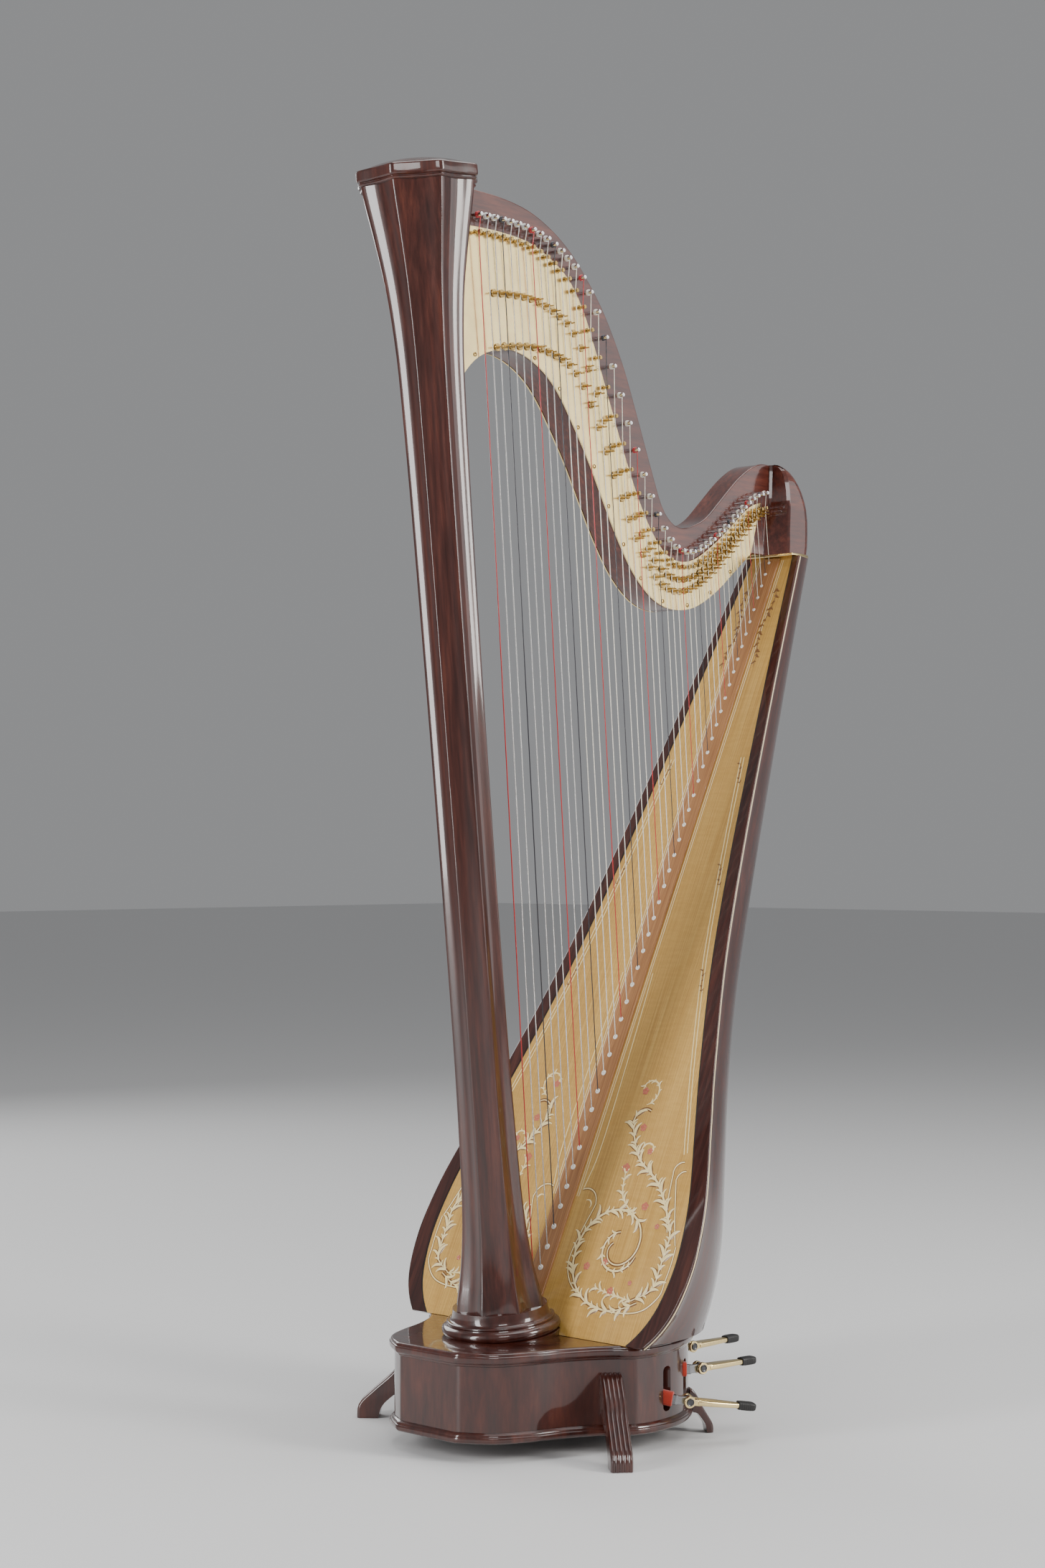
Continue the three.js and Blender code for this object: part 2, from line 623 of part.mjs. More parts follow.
// Scroll foot: its profile runs out from the wall and down to a flat sole.
function footGeometry({ reach, height, width }) {
  const placed = (points) => points.map(([out, up]) => [out * reach, up * height]);
  const crest = placed([[0, 1], [0.14, 0.98], [0.35, 0.82], [0.58, 0.57], [0.82, 0.36], [1, 0.18], [1.02, 0]]);
  const belly = placed([[0.74, 0], [0.68, 0.17], [0.5, 0.33], [0.3, 0.45], [0, 0.48]]);
  const profile = new THREE.Shape([...smooth(crest, 12), ...smooth(belly, 8)]);
  const bevel = { bevelEnabled: true, bevelSize: 2, bevelThickness: 4, bevelOffset: -2, bevelSegments: 1 };
  const foot = new THREE.ExtrudeGeometry(profile, { depth: width - 8, ...bevel });
  return foot.rotateX(Math.PI / 2).translate(0, width / 2 - 4, 0);
}

const FRONT_FOOT = { reach: 116, height: 116, width: 32 };
const REAR_FOOT = { reach: 36, height: 66, width: 22 };
const FEET = [
  { name: "front_left_foot", x: -182, y: -180, turn: -130, shape: FRONT_FOOT },
  { name: "front_right_foot", x: -182, y: 180, turn: 130, shape: FRONT_FOOT },
  { name: "rear_left_foot", x: 4, y: -169, turn: -35, shape: REAR_FOOT },
  { name: "rear_right_foot", x: 4, y: 169, turn: 35, shape: REAR_FOOT },
];

function addBase(object) {
  object.add(makeMesh("base_top", baseTopGeometry(), WOOD));
  object.add(makeMesh("base_body", baseBodyGeometry(), WOOD));
  object.add(makeMesh("base_floor", baseFloorGeometry(), WOOD));
  const wall = mouldedBoard([[-5, -GAP], [BASE_TOP, -GAP]]);
  const moulding = mouldedBoard([[BASE_FLOOR_BOTTOM - GAP, -7.5], [BASE_FLOOR_TOP + GAP, -7.5]]);
  FEET.forEach(({ name, x, y, turn, shape }) => {
    const foot = footGeometry(shape).rotateZ(turn * DEG).translate(x, y, 0);
    object.add(makeMesh(name, cut(foot, wall, moulding), WOOD));
  });
}

// ---- Pedals ----------------------------------------------------------------

// Length of the straight run of a lever, from its pivot to the elbow outside the wall.
function elbowReach(pedal) {
  return pedal.wall + ELBOW_REACH - PEDAL_PIVOT_RADIUS;
}

// Place of the folding eye in the lever's frame: past the elbow the lever turns to the pedal's line.
function eyePlace(pedal) {
  const bend = (pedal.arm - pedal.lever) * DEG;
  return new THREE.Vector3(elbowReach(pedal) + EYE_REACH * Math.cos(bend), EYE_REACH * Math.sin(bend), 0);
}

// Steel lever from its pivot out to the folding eye, in a frame centred on the pivot.
function leverGeometry(pedal) {
  const bar = boxBetween([-9, -3.5, -7], [elbowReach(pedal), 3.5, 7]);
  const pin = new THREE.CylinderGeometry(3, 3, 8.4, 8);
  const elbow = new THREE.CylinderGeometry(3.5, 3.5, 14, 8).rotateX(Math.PI / 2);
  const eye = new THREE.CylinderGeometry(HUB_RADIUS - 1, HUB_RADIUS - 1, 7, 12);
  const tail = boxBetween([-EYE_REACH, -3.5, -6], [0, 3.5, 6]);
  const hole = new THREE.CylinderGeometry(3.6, 3.6, 12, 10);
  const end = cut(unite(eye, tail), hole).rotateZ((pedal.arm - pedal.lever) * DEG);
  end.translate(...eyePlace(pedal).toArray());
  return unite(bar, pin, elbow.translate(elbowReach(pedal), 0, 0), end);
}

// Folding brass pedal with its rubber tip, in a frame centred on the fold pin, pointing along +X.
function pedalGeometry() {
  const half = new THREE.Shape();
  half.moveTo(13, -10);
  half.lineTo(30, -10.5);
  half.quadraticCurveTo(70, -9, ARM_LENGTH - 26, -5.5);
  half.lineTo(ARM_LENGTH - 26, -7.5);
  half.lineTo(ARM_LENGTH - 4, -8.5);
  half.quadraticCurveTo(ARM_LENGTH + 4, 0, ARM_LENGTH - 4, 8.5);
  half.lineTo(ARM_LENGTH - 26, 7.5);
  half.lineTo(ARM_LENGTH - 26, 5.5);
  half.quadraticCurveTo(70, 9, 30, 10.5);
  half.lineTo(13, 10);
  half.closePath();
  const arm = new THREE.ExtrudeGeometry(half, { depth: 9, curveSegments: 4, bevelEnabled: false });
  arm.translate(0, 0, -4.5);
  const cheeks = [-1, 1].map((side) => {
    const cheek = new THREE.CylinderGeometry(HUB_RADIUS, HUB_RADIUS, 5, 12);
    const web = boxBetween([0, -2.5, -4.5], [16, 2.5, 4.5]);
    return unite(cheek, web).translate(0, side * 6.5, 0);
  });
  const pin = new THREE.CylinderGeometry(3, 3, 16, 10);
  return unite(arm, ...cheeks, pin);
}

// Rest angle of a lever: the pedal set in its lowest notch hangs down.
function pedalRest(pedal) {
  return pedal.down ? Math.asin(PEDAL_DROP / eyePlace(pedal).x) : 0;
}

function addPedals(object) {
  PEDALS.forEach((pedal) => {
    const swing = new THREE.Group();
    swing.position.copy(leverPoint(pedal, PEDAL_PIVOT_RADIUS));
    swing.rotation.set(0, pedalRest(pedal), pedal.lever * DEG, "ZYX");
    swing.add(makeMesh(`pedal_lever_${pedal.name}`, leverGeometry(pedal), STEEL));
    const foot = makeMesh(`pedal_${pedal.name}`, pedalGeometry(), BRASS);
    foot.position.copy(eyePlace(pedal));
    foot.rotation.z = (pedal.arm - pedal.lever) * DEG;
    swing.add(foot);
    object.add(swing);
  });
}

const harp = new THREE.Group();
harp.position.x = CENTRE_SHIFT;
harp.add(columnGroup, boardGroup, neckGroup);
addColumn();
addSoundbox();
addNeck();
neckGroup.add(makeMesh("strings", stringsGeometry(), GUT));
harp.add(makeMesh("shoulder_block", shoulderGeometry(), WOOD));
addBase(harp);
addPedals(harp);

const centred = new THREE.Group();
centred.add(harp);

export default centred;
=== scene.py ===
"""Concert grand pedal harp with 47 strings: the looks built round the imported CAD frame.

Shapes are drawn in millimetres in the harp's own drawing frame (column at -X, player at +X,
strings on the -Y face, floor at Z = 0) and brought into the part's frame in metres by make().
"""

from collections import namedtuple
from math import asin, atan2, copysign, cos, degrees, exp, pi, radians, sin, sqrt, tan

import bmesh
import bpy
from mathutils import Matrix, Vector


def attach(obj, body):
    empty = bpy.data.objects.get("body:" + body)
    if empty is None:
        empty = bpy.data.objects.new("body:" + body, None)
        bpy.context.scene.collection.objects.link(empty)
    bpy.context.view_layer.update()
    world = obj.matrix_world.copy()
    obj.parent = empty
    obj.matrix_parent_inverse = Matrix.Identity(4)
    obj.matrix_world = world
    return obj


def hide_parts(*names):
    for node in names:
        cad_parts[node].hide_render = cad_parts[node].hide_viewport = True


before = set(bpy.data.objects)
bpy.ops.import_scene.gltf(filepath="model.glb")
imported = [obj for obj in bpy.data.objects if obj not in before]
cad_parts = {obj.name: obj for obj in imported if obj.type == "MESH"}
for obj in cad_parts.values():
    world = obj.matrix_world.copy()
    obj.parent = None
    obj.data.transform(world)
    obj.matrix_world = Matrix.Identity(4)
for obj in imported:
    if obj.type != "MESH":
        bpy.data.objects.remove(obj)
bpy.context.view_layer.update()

MM = 0.001
SHIFT = -7.2  # from the drawing frame to the part's frame, along X
FLOOR_DROP = 0.0005  # metres, so that the floor stays under the feet


def shift(x=0.0, y=0.0, z=0.0):
    return Matrix.Translation((x, y, z))


def spin(angle, axis="Z"):
    """Rotation by an angle in degrees."""
    return Matrix.Rotation(radians(angle), 4, axis)


def local_frame(x, y, z, lean=0.0, turn=0.0):
    """A sub-assembly's own frame: placed in the drawing, leaning about Y or turned about Z."""
    return shift(x + SHIFT, y, z) @ spin(turn) @ spin(lean, "Y")


WORLD = local_frame(0, 0, 0)
COLUMN = local_frame(-222, 0, 168, lean=-5.97)
BOARD = local_frame(-152, 0, 212.75, lean=26.67)
NECK = local_frame(-330, 0, 0, turn=2.4)

# Column.
COLUMN_PROFILE = [
    (0, 71), (30, 69), (80, 59), (140, 51.5), (220, 47), (425, 43.5), (810, 44), (1200, 47.5),
    (1375, 51), (1440, 54), (1517, 61.5), (1595, 75), (1650, 86), (1700, 93),
]
COLUMN_START = 12
COLUMN_END = 1667
FLUTES = 8
FLUTE_DEPTH = 0.15

# Soundboard and shell; widths are half widths, the first number runs up the board.
BOARD_WIDTHS = [
    (-110, 180), (-75, 224), (-40, 255), (0, 273), (60, 281), (116, 277), (174, 266), (270, 238),
    (366, 210), (534, 168), (709, 136), (913, 105), (1100, 79), (1330, 50),
]
BORDER_LOW = 33
BORDER_FALL = 0.0145
INLAY_WIDTH = 2.2
SHELL_DEPTHS = [(-120, 262), (100, 244), (229, 215), (470, 163), (889, 112), (1239, 68), (1345, 56)]
BOARD_BOTTOM = -62
BOARD_TOP = 1278.5
BOARD_FACE = 3.85
BOARD_THICK = 6
STRIP_HALF = 19
SHELL_WALL = 6
SHELL_TOP = 1353.6
SHELL_INSET = 4  # from the board's edge to the shell
SHELL_WAIST = 0.92
SOUND_HOLES = [(250, 38), (440, 32), (640, 26), (850, 20)]  # place up the board, half width
HOLE_STRETCH = 1.7

# Neck outlines in X and Z.
NECK_TOP = [
    (-380, 1836), (-300, 1835), (-240, 1834), (-181, 1826), (-130, 1808), (-85, 1782), (-45, 1747),
    (0, 1696), (46, 1622), (84, 1540), (115, 1470), (142, 1414), (168, 1389), (195, 1383), (224, 1390),
    (258, 1406), (299, 1440), (342, 1476), (378, 1499), (406, 1509), (431, 1510),
]
PLATE_TOP = [
    (-345, 1775), (-313, 1779), (-246, 1781), (-185, 1777), (-134, 1761), (-92, 1737), (-60, 1700),
    (-33, 1650), (-10, 1600), (11, 1554), (31, 1511), (53, 1466), (80, 1416), (112, 1370), (147, 1338),
    (184, 1328), (227, 1337), (285, 1371), (331, 1405), (372, 1434), (402, 1444),
]
PLATE_BOTTOM = [
    (-345, 1535), (-321, 1565), (-299, 1585), (-272, 1599), (-240, 1608), (-208, 1608), (-174, 1599),
    (-140, 1581), (-109, 1553), (-77, 1512), (-43, 1464), (-10, 1410), (25, 1354), (64, 1303), (105, 1269),
    (143, 1253), (184, 1250), (227, 1259), (279, 1286), (331, 1324), (375, 1357),
]
NECK_PIVOT = -330
NECK_FACE = -21.5
NECK_BACK = 24.5
PLATE_THICK = 2.5
GAP = 0.35  # between neighbouring pieces
TRIM_LOW = 1353.2  # brass line under the shoulder
TRIM_HIGH = 1357.8
PLATE_FACE = NECK_FACE - GAP - PLATE_THICK

# Strings.
STRINGS = 47
PITCH_BASS = 33.03
PITCH_DROP = 0.1196
LEAN_BASS = 5.6
LEAN_TREBLE = 9
STRING_PLANE = -34
NUT_INSET = 9
PIN_OFFSET = 15
PIN_RADIUS = 3.1
COIL_TURNS = 3.2
COIL_PITCH = 1.2
COIL_START = -2  # first turn, from the strings' plane
WOUND_STRINGS = 11
OPEN_STRINGS = 2  # the lowest ones have no discs
OCTAVE_FIRST = 21  # first string of the octave whose pins and discs move
SEMITONE = 1 - 2 ** (-1 / 12)
WHOLE_TONE = 1 - 2 ** (-2 / 12)
NOTES = "cdefgab"
DISC_TURN = 45

# Base plan: half outline from the nose to the back.
NOSE = [(-373, 55), (-342, 102), (-300, 126), (-245, 146), (-195, 173), (-160, 205)]
FLANK = [(-160, 205), (-120, 213), (-60, 204), (-5, 176), (45, 130), (82, 70), (96, 0)]
BASE_TOP = 155
BASE_LOW = 27
WALL_TOP = 135
WALL_LOW = 42

# Pedals: lever and arm angles in plan, reach of the wall from the pedals' centre, and whether the
# pedal rests in its lowest notch.
PEDAL_CENTRE = -215
PIVOT_RADIUS = 72
PEDAL_HEIGHT = 101
PEDAL_DROP = 35
Pedal = namedtuple("Pedal", "lever arm wall down")
PEDALS = {
    "d": Pedal(-60, -28, 243, True), "c": Pedal(-46, -10, 257, False), "b": Pedal(-14, -3, 305, False),
    "e": Pedal(13, 3, 305, False), "f": Pedal(29, 6, 287, False), "g": Pedal(46, 12, 257, False),
    "a": Pedal(60, 28, 243, False),
}
ELBOW_REACH = 16
EYE_REACH = 20
HUB_RADIUS = 9
FELT_HALF_WIDE = 6.6
FELT_HALF_TALL = 10.6


# ---- Curves and closed shapes ----


def cubic(start, end, slope_start, slope_end, t):
    """Cubic between two values that leaves and arrives with the given slopes."""
    t2 = t * t
    t3 = t2 * t
    return (
        start * (2 * t3 - 3 * t2 + 1) + end * (3 * t2 - 2 * t3)
        + slope_start * (t3 - 2 * t2 + t) + slope_end * (t3 - t2)
    )


def catmull(points, count):
    """Dense points of a uniform Catmull-Rom curve through the given ones."""
    ends = [points[0], *points, points[-1]]
    curve = []
    for i in range(1, len(ends) - 2):
        a, b, c, d = (Vector(p) for p in ends[i - 1:i + 3])
        for step in range(count):
            curve.append(cubic(b, c, (c - a) / 2, (d - b) / 2, step / count))
    curve.append(Vector(points[-1]))
    return curve


def spaced(curve, count):
    """count + 1 points at equal distances along a dense curve."""
    reach = [0.0]
    for a, b in zip(curve, curve[1:]):
        reach.append(reach[-1] + (b - a).length)
    result = []
    at = 0
    for i in range(count + 1):
        goal = reach[-1] * i / count
        while at + 2 < len(curve) and reach[at + 1] < goal:
            at += 1
        span = reach[at + 1] - reach[at]
        share = (goal - reach[at]) / span if span else 0.0
        result.append(curve[at].lerp(curve[at + 1], min(1.0, share)))
    return result


def run_at(path, i):
    """Direction of a path at one of its points."""
    return (path[min(i + 1, len(path) - 1)] - path[max(i - 1, 0)]).normalized()


def smooth(points, count):
    return spaced(catmull(points, 24), count)


def table(points, at):
    """Value of a smooth table of (place, value) pairs."""
    last = len(points) - 2
    i = min(last, max(0, sum(1 for place, _ in points if place <= at) - 1))
    (x0, y0), (x1, y1) = points[i], points[i + 1]
    before = points[max(0, i - 1)]
    after = points[min(last + 1, i + 2)]
    m0 = (y1 - before[1]) / (x1 - before[0])
    m1 = (after[1] - y0) / (after[0] - x0)
    span = x1 - x0
    return cubic(y0, y1, m0 * span, m1 * span, (at - x0) / span)


def steps(low, high, count):
    return [low + (high - low) * i / count for i in range(count + 1)]


def angles(start, end, count):
    """Evenly spaced angles, given in degrees and returned in radians."""
    return [radians(angle) for angle in steps(start, end, count)]


def around(count):
    """Angles of one full turn in equal steps."""
    return [2 * pi * i / count for i in range(count)]


def arc(x, y, size, start, end, count=10):
    """Points of a round arc about a centre; its angles are in degrees."""
    return [(x + size * cos(angle), y + size * sin(angle)) for angle in angles(start, end, count)]


def loft(rings):
    """Closed solid through rings of equal length, as (points, faces)."""
    count = len(rings[0])
    points = [Vector(p) for ring in rings for p in ring]
    faces = []
    for r in range(len(rings) - 1):
        for i in range(count):
            a = r * count + i
            b = r * count + (i + 1) % count
            faces.append((a, b, b + count, a + count))
    last = (len(rings) - 1) * count
    faces.append(tuple(range(count - 1, -1, -1)))
    faces.append(tuple(range(last, last + count)))
    return points, faces


def revolve(profile, sides=32, axis="Z"):
    """Solid of revolution from (radius, height) pairs; its ends are capped flat."""
    rings = []
    for radius, height in profile:
        ring = []
        for angle in around(sides):
            u, v = radius * cos(angle), radius * sin(angle)
            ring.append({"Z": (u, v, height), "Y": (v, height, u), "X": (height, u, v)}[axis])
        rings.append(ring)
    return loft(rings)


def tube(path, radius, sides=8, flat=1.0, up=(1, 0, 0)):
    """Tube along a path; radius is a number or one for each point, flat squeezes it along up."""
    path = [Vector(p) for p in path]
    radii = radius if isinstance(radius, list) else [radius] * len(path)
    up = Vector(up)
    rings = []
    for i, point in enumerate(path):
        run = run_at(path, i)
        side = run.cross(up)
        side = side.normalized() if side.length > 1e-6 else run.orthogonal().normalized()
        lift = side.cross(run).normalized()
        ring = []
        for angle in around(sides):
            ring.append(point + (side * cos(angle) + lift * (flat * sin(angle))) * radii[i])
        rings.append(ring)
    return loft(rings)


def prism(outline, low, high):
    """Solid over an outline in X and Z, from depth low to high along Y."""
    return loft([[(x, depth, z) for x, z in outline] for depth in (low, high)])


def slab(outline, low, high):
    """Solid over an outline in X and Y, between two heights."""
    return loft([[(x, y, height) for x, y in outline] for height in (low, high)])


def block(low, high):
    (x0, y0, z0), (x1, y1, z1) = low, high
    return slab([(x0, y0), (x1, y0), (x1, y1), (x0, y1)], z0, z1)


def moved(shape, matrix):
    points, faces = shape
    return [matrix @ p for p in points], faces


def joined(shapes):
    points = []
    faces = []
    for more, their_faces in shapes:
        start = len(points)
        points.extend(more)
        faces.extend([tuple(start + i for i in face) for face in their_faces])
    return points, faces


def to_bmesh(shape):
    points, faces = shape
    bm = bmesh.new()
    verts = [bm.verts.new(p) for p in points]
    for face in faces:
        bm.faces.new([verts[i] for i in face])
    bm.normal_update()
    bmesh.ops.recalc_face_normals(bm, faces=bm.faces)
    return bm


def to_mesh(name, shape):
    mesh = bpy.data.meshes.new(name)
    bm = to_bmesh(shape)
    bm.to_mesh(mesh)
    bm.free()
    return mesh


def from_bmesh(bm):
    bm.verts.index_update()
    shape = [v.co.copy() for v in bm.verts], [tuple(v.index for v in f.verts) for f in bm.faces]
    bm.free()
    return shape


def rounded(shape, width, segments=3, angle=40):
    """The same solid with every edge sharper than the angle rounded off."""
    bm = to_bmesh(shape)
    sharp = [e for e in bm.edges if e.is_manifold and e.calc_face_angle(0) > radians(angle)]
    bmesh.ops.bevel(
        bm, geom=sharp, offset=width, segments=segments, profile=0.5, affect="EDGES",
        clamp_overlap=True,
    )
    return from_bmesh(bm)


def subtracted(shape, cutter):
    """Boolean difference of two solids given in the same frame."""
    pair = []
    for part in (shape, cutter):
        pair.append(bpy.data.objects.new("boolean_part", to_mesh("boolean_part", part)))
        bpy.context.scene.collection.objects.link(pair[-1])
    change = pair[0].modifiers.new("cut", "BOOLEAN")
    change.operation = "DIFFERENCE"
    change.solver = "EXACT"
    change.object = pair[1]
    result = pair[0].evaluated_get(bpy.context.evaluated_depsgraph_get()).to_mesh()
    shape = [v.co.copy() for v in result.vertices], [tuple(p.vertices) for p in result.polygons]
    for obj in pair:
        mesh = obj.data
        bpy.data.objects.remove(obj)
        bpy.data.meshes.remove(mesh)
    return shape


def make(
    name, shape, material, where=WORLD, body="frame", sharp=32, replaces=(),
):
    """Piece from a shape in a local frame; it keeps its local place for its material's grain."""
    points, faces = shape
    mesh = to_mesh(name, ([(where @ Vector(p)) * MM for p in points], faces))
    grain = mesh.attributes.new("grain", "FLOAT_VECTOR", "POINT")
    grain.data.foreach_set("vector", [value * MM for p in points for value in p])
    mesh.materials.append(material)
    mesh.shade_smooth()
    mesh.set_sharp_from_angle(angle=radians(sharp))
    obj = bpy.data.objects.new(name, mesh)
    bpy.context.scene.collection.objects.link(obj)
    level = obj.modifiers.new("even_normals", "WEIGHTED_NORMAL")
    level.keep_sharp = True
    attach(obj, body)
    if replaces:
        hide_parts(*replaces)

# ---- Materials ----


class Paint:
    """A Principled material that is put together node by node."""

    def __init__(self, name, color, roughness, metallic=0.0):
        self.material = bpy.data.materials.new(name)
        self.material.use_nodes = True
        self.nodes = self.material.node_tree.nodes
        self.links = self.material.node_tree.links
        self.shader = self.nodes["Principled BSDF"]
        self.shader.inputs["Base Color"].default_value = (*color, 1)
        self.shader.inputs["Roughness"].default_value = roughness
        self.shader.inputs["Metallic"].default_value = metallic
        place = self.nodes.new("ShaderNodeAttribute")
        place.attribute_name = "grain"
        self.place = place.outputs["Vector"]

    def set(self, **values):
        for key, value in values.items():
            self.shader.inputs[key.replace("_", " ")].default_value = value
        return self

    def noise(self, stretch, turn=(0, 0, 0), detail=4.0, roughness=0.5, distortion=0.0):
        """Noise in the piece's own place, squeezed by stretch along each axis."""
        mapping = self.nodes.new("ShaderNodeMapping")
        mapping.inputs["Scale"].default_value = stretch
        mapping.inputs["Rotation"].default_value = [radians(a) for a in turn]
        self.links.new(self.place, mapping.inputs["Vector"])
        noise = self.nodes.new("ShaderNodeTexNoise")
        settings = {"Scale": 1.0, "Detail": detail, "Roughness": roughness, "Distortion": distortion}
        for socket, value in settings.items():
            noise.inputs[socket].default_value = value
        self.links.new(mapping.outputs["Vector"], noise.inputs["Vector"])
        return noise.outputs["Fac"]

    def ramp(self, value, stops):
        ramp = self.nodes.new("ShaderNodeValToRGB")
        elements = ramp.color_ramp.elements
        while len(elements) < len(stops):
            elements.new(0.5)
        for element, (at, color) in zip(elements, stops):
            element.position = at
            element.color = (*color, 1)
        self.links.new(value, ramp.inputs["Fac"])
        return ramp.outputs["Color"]

    def spread(self, value, low, high):
        """The middle of a noise spread over a range of values."""
        span = self.nodes.new("ShaderNodeMapRange")
        span.inputs["From Min"].default_value = 0.3
        span.inputs["From Max"].default_value = 0.7
        span.inputs["To Min"].default_value = low
        span.inputs["To Max"].default_value = high
        self.links.new(value, span.inputs["Value"])
        return span.outputs["Result"]

    def multiplied(self, a, b):
        mix = self.nodes.new("ShaderNodeMix")
        mix.data_type = "RGBA"
        mix.blend_type = "MULTIPLY"
        for socket in mix.inputs:
            if socket.enabled and socket.type == "VALUE":
                socket.default_value = 1.0
        for name, value in (("A", a), ("B", b)):
            self.links.new(value, next(i for i in mix.inputs if i.name == name and i.enabled))
        return next(o for o in mix.outputs if o.enabled)

    def into(self, value, socket):
        self.links.new(value, self.shader.inputs[socket])
        return self

    def bump(self, value, distance, strength=1.0):
        bump = self.nodes.new("ShaderNodeBump")
        bump.inputs["Distance"].default_value = distance
        bump.inputs["Strength"].default_value = strength
        self.links.new(value, bump.inputs["Height"])
        self.links.new(bump.outputs["Normal"], self.shader.inputs["Normal"])
        return self


def toned(color, factor):
    return tuple(min(1.0, channel * factor) for channel in color)


def lacquered_wood(name, grain_scale, turn=(0, 0, 0), tone=1.0):
    """Dark red-brown lacquer over fine grain; grain_scale squeezes the noise across the grain."""
    paint = Paint(name, (0.1, 0.02, 0.012), 0.3)
    fine = paint.noise(grain_scale, turn, detail=8, roughness=0.65)
    broad = paint.noise([v * 0.16 for v in grain_scale], turn, detail=3, distortion=0.6)
    dark = toned((0.020, 0.0040, 0.0026), tone)
    middle = toned((0.046, 0.0088, 0.0048), tone)
    light = toned((0.088, 0.0195, 0.0095), tone)
    streaks = paint.ramp(fine, [(0.28, dark), (0.5, middle), (0.74, light)])
    cloud = paint.ramp(broad, [(0.3, (0.55, 0.5, 0.5)), (0.7, (1.0, 1.0, 1.0))])
    color = paint.multiplied(streaks, cloud)
    paint.into(color, "Base Color")
    paint.into(paint.spread(fine, 0.28, 0.42), "Roughness")
    paint.set(Coat_Weight=1.0, Coat_Roughness=0.06, Coat_IOR=1.5, Specular_IOR_Level=0.3)
    paint.bump(fine, 0.00004, 0.35)
    return paint.material


def spruce():
    """Amber varnished spruce: straight fine grain along the board and faint silk across it."""
    paint = Paint("spruce", (0.62, 0.36, 0.12), 0.36)
    grain = paint.noise((20, 620, 3.5), detail=5, roughness=0.6)
    silk = paint.noise((20, 34, 190), detail=4)
    bands = paint.noise((3, 22, 0.8), detail=2)
    base = paint.ramp(
        grain, [(0.25, (0.43, 0.225, 0.048)), (0.5, (0.62, 0.365, 0.088)), (0.75, (0.75, 0.485, 0.145))]
    )
    tint = paint.ramp(bands, [(0.3, (0.84, 0.80, 0.74)), (0.7, (1.0, 1.0, 1.0))])
    shimmer = paint.ramp(silk, [(0.4, (0.93, 0.92, 0.90)), (0.65, (1.0, 1.0, 1.0))])
    color = paint.multiplied(paint.multiplied(base, tint), shimmer)
    paint.into(color, "Base Color")
    paint.into(paint.spread(silk, 0.3, 0.42), "Roughness")
    paint.set(Coat_Weight=0.7, Coat_Roughness=0.16)
    paint.bump(grain, 0.00003, 0.5)
    return paint.material


def strip_wood():
    paint = Paint("strip_wood", (0.36, 0.16, 0.06), 0.36)
    grain = paint.noise((60, 420, 7), detail=6, roughness=0.6)
    stops = [(0.3, (0.25, 0.10, 0.033)), (0.55, (0.40, 0.185, 0.068)), (0.75, (0.50, 0.26, 0.105))]
    paint.into(paint.ramp(grain, stops), "Base Color")
    paint.set(Coat_Weight=0.6, Coat_Roughness=0.15)
    paint.bump(grain, 0.00004, 0.4)
    return paint.material


def metal(name, color, roughness, brush=(90, 90, 900), streak=0.12, dull_darkening=0.0):
    """Polished metal with faint brushing and slight unevenness of its shine; the last argument darkens its
    dull patches further.
    """
    paint = Paint(name, color, roughness, metallic=1.0)
    lines = paint.noise(brush, detail=5, roughness=0.6)
    cloud = paint.noise((26, 26, 26), detail=4, roughness=0.6)
    paint.into(paint.spread(lines, roughness * (1 - streak), roughness * (1 + 2 * streak)), "Roughness")
    dull = toned(color, 0.86 - dull_darkening)
    paint.into(paint.ramp(cloud, [(0.32, dull), (0.62, color)]), "Base Color")
    paint.bump(lines, 0.000008, 0.5)
    return paint.material


def felt():
    paint = Paint("red_felt", (0.46, 0.028, 0.012), 0.95)
    fuzz = paint.noise((1500, 1500, 1500), detail=6, roughness=0.75)
    paint.into(paint.ramp(fuzz, [(0.3, (0.28, 0.014, 0.008)), (0.7, (0.60, 0.05, 0.02))]), "Base Color")
    paint.set(Sheen_Weight=0.35, Sheen_Roughness=0.5)
    paint.bump(fuzz, 0.0005, 0.7)
    return paint.material


def rubber():
    paint = Paint("dark_rubber", (0.016, 0.015, 0.015), 0.5)
    specks = paint.noise((900, 900, 900), detail=5)
    paint.into(paint.spread(specks, 0.38, 0.58), "Roughness")
    paint.bump(specks, 0.00012, 0.4)
    return paint.material


def string_paint(name, color, roughness, sheen=0.0, ribs=0.0):
    """Gut or nylon; ribs adds the turns of a wound string."""
    paint = Paint(name, color, roughness, metallic=1.0 if ribs else 0.0)
    fine = paint.noise((200, 200, 900), detail=4)
    paint.into(paint.ramp(fine, [(0.3, toned(color, 0.75)), (0.7, toned(color, 1.15))]), "Base Color")
    paint.set(Coat_Weight=sheen, Coat_Roughness=0.1)
    if ribs:
        wave = paint.nodes.new("ShaderNodeTexWave")
        wave.bands_direction = "Z"
        wave.inputs["Scale"].default_value = ribs
        paint.links.new(paint.place, wave.inputs["Vector"])
        paint.bump(wave.outputs["Fac"], 0.0001, 0.6)
    return paint.material


def ink(name, color, roughness=0.4):
    paint = Paint(name, color, roughness)
    fine = paint.noise((300, 300, 300))
    paint.into(paint.spread(fine, roughness * 0.85, roughness * 1.15), "Roughness")
    paint.set(Coat_Weight=0.6, Coat_Roughness=0.12)
    return paint.material


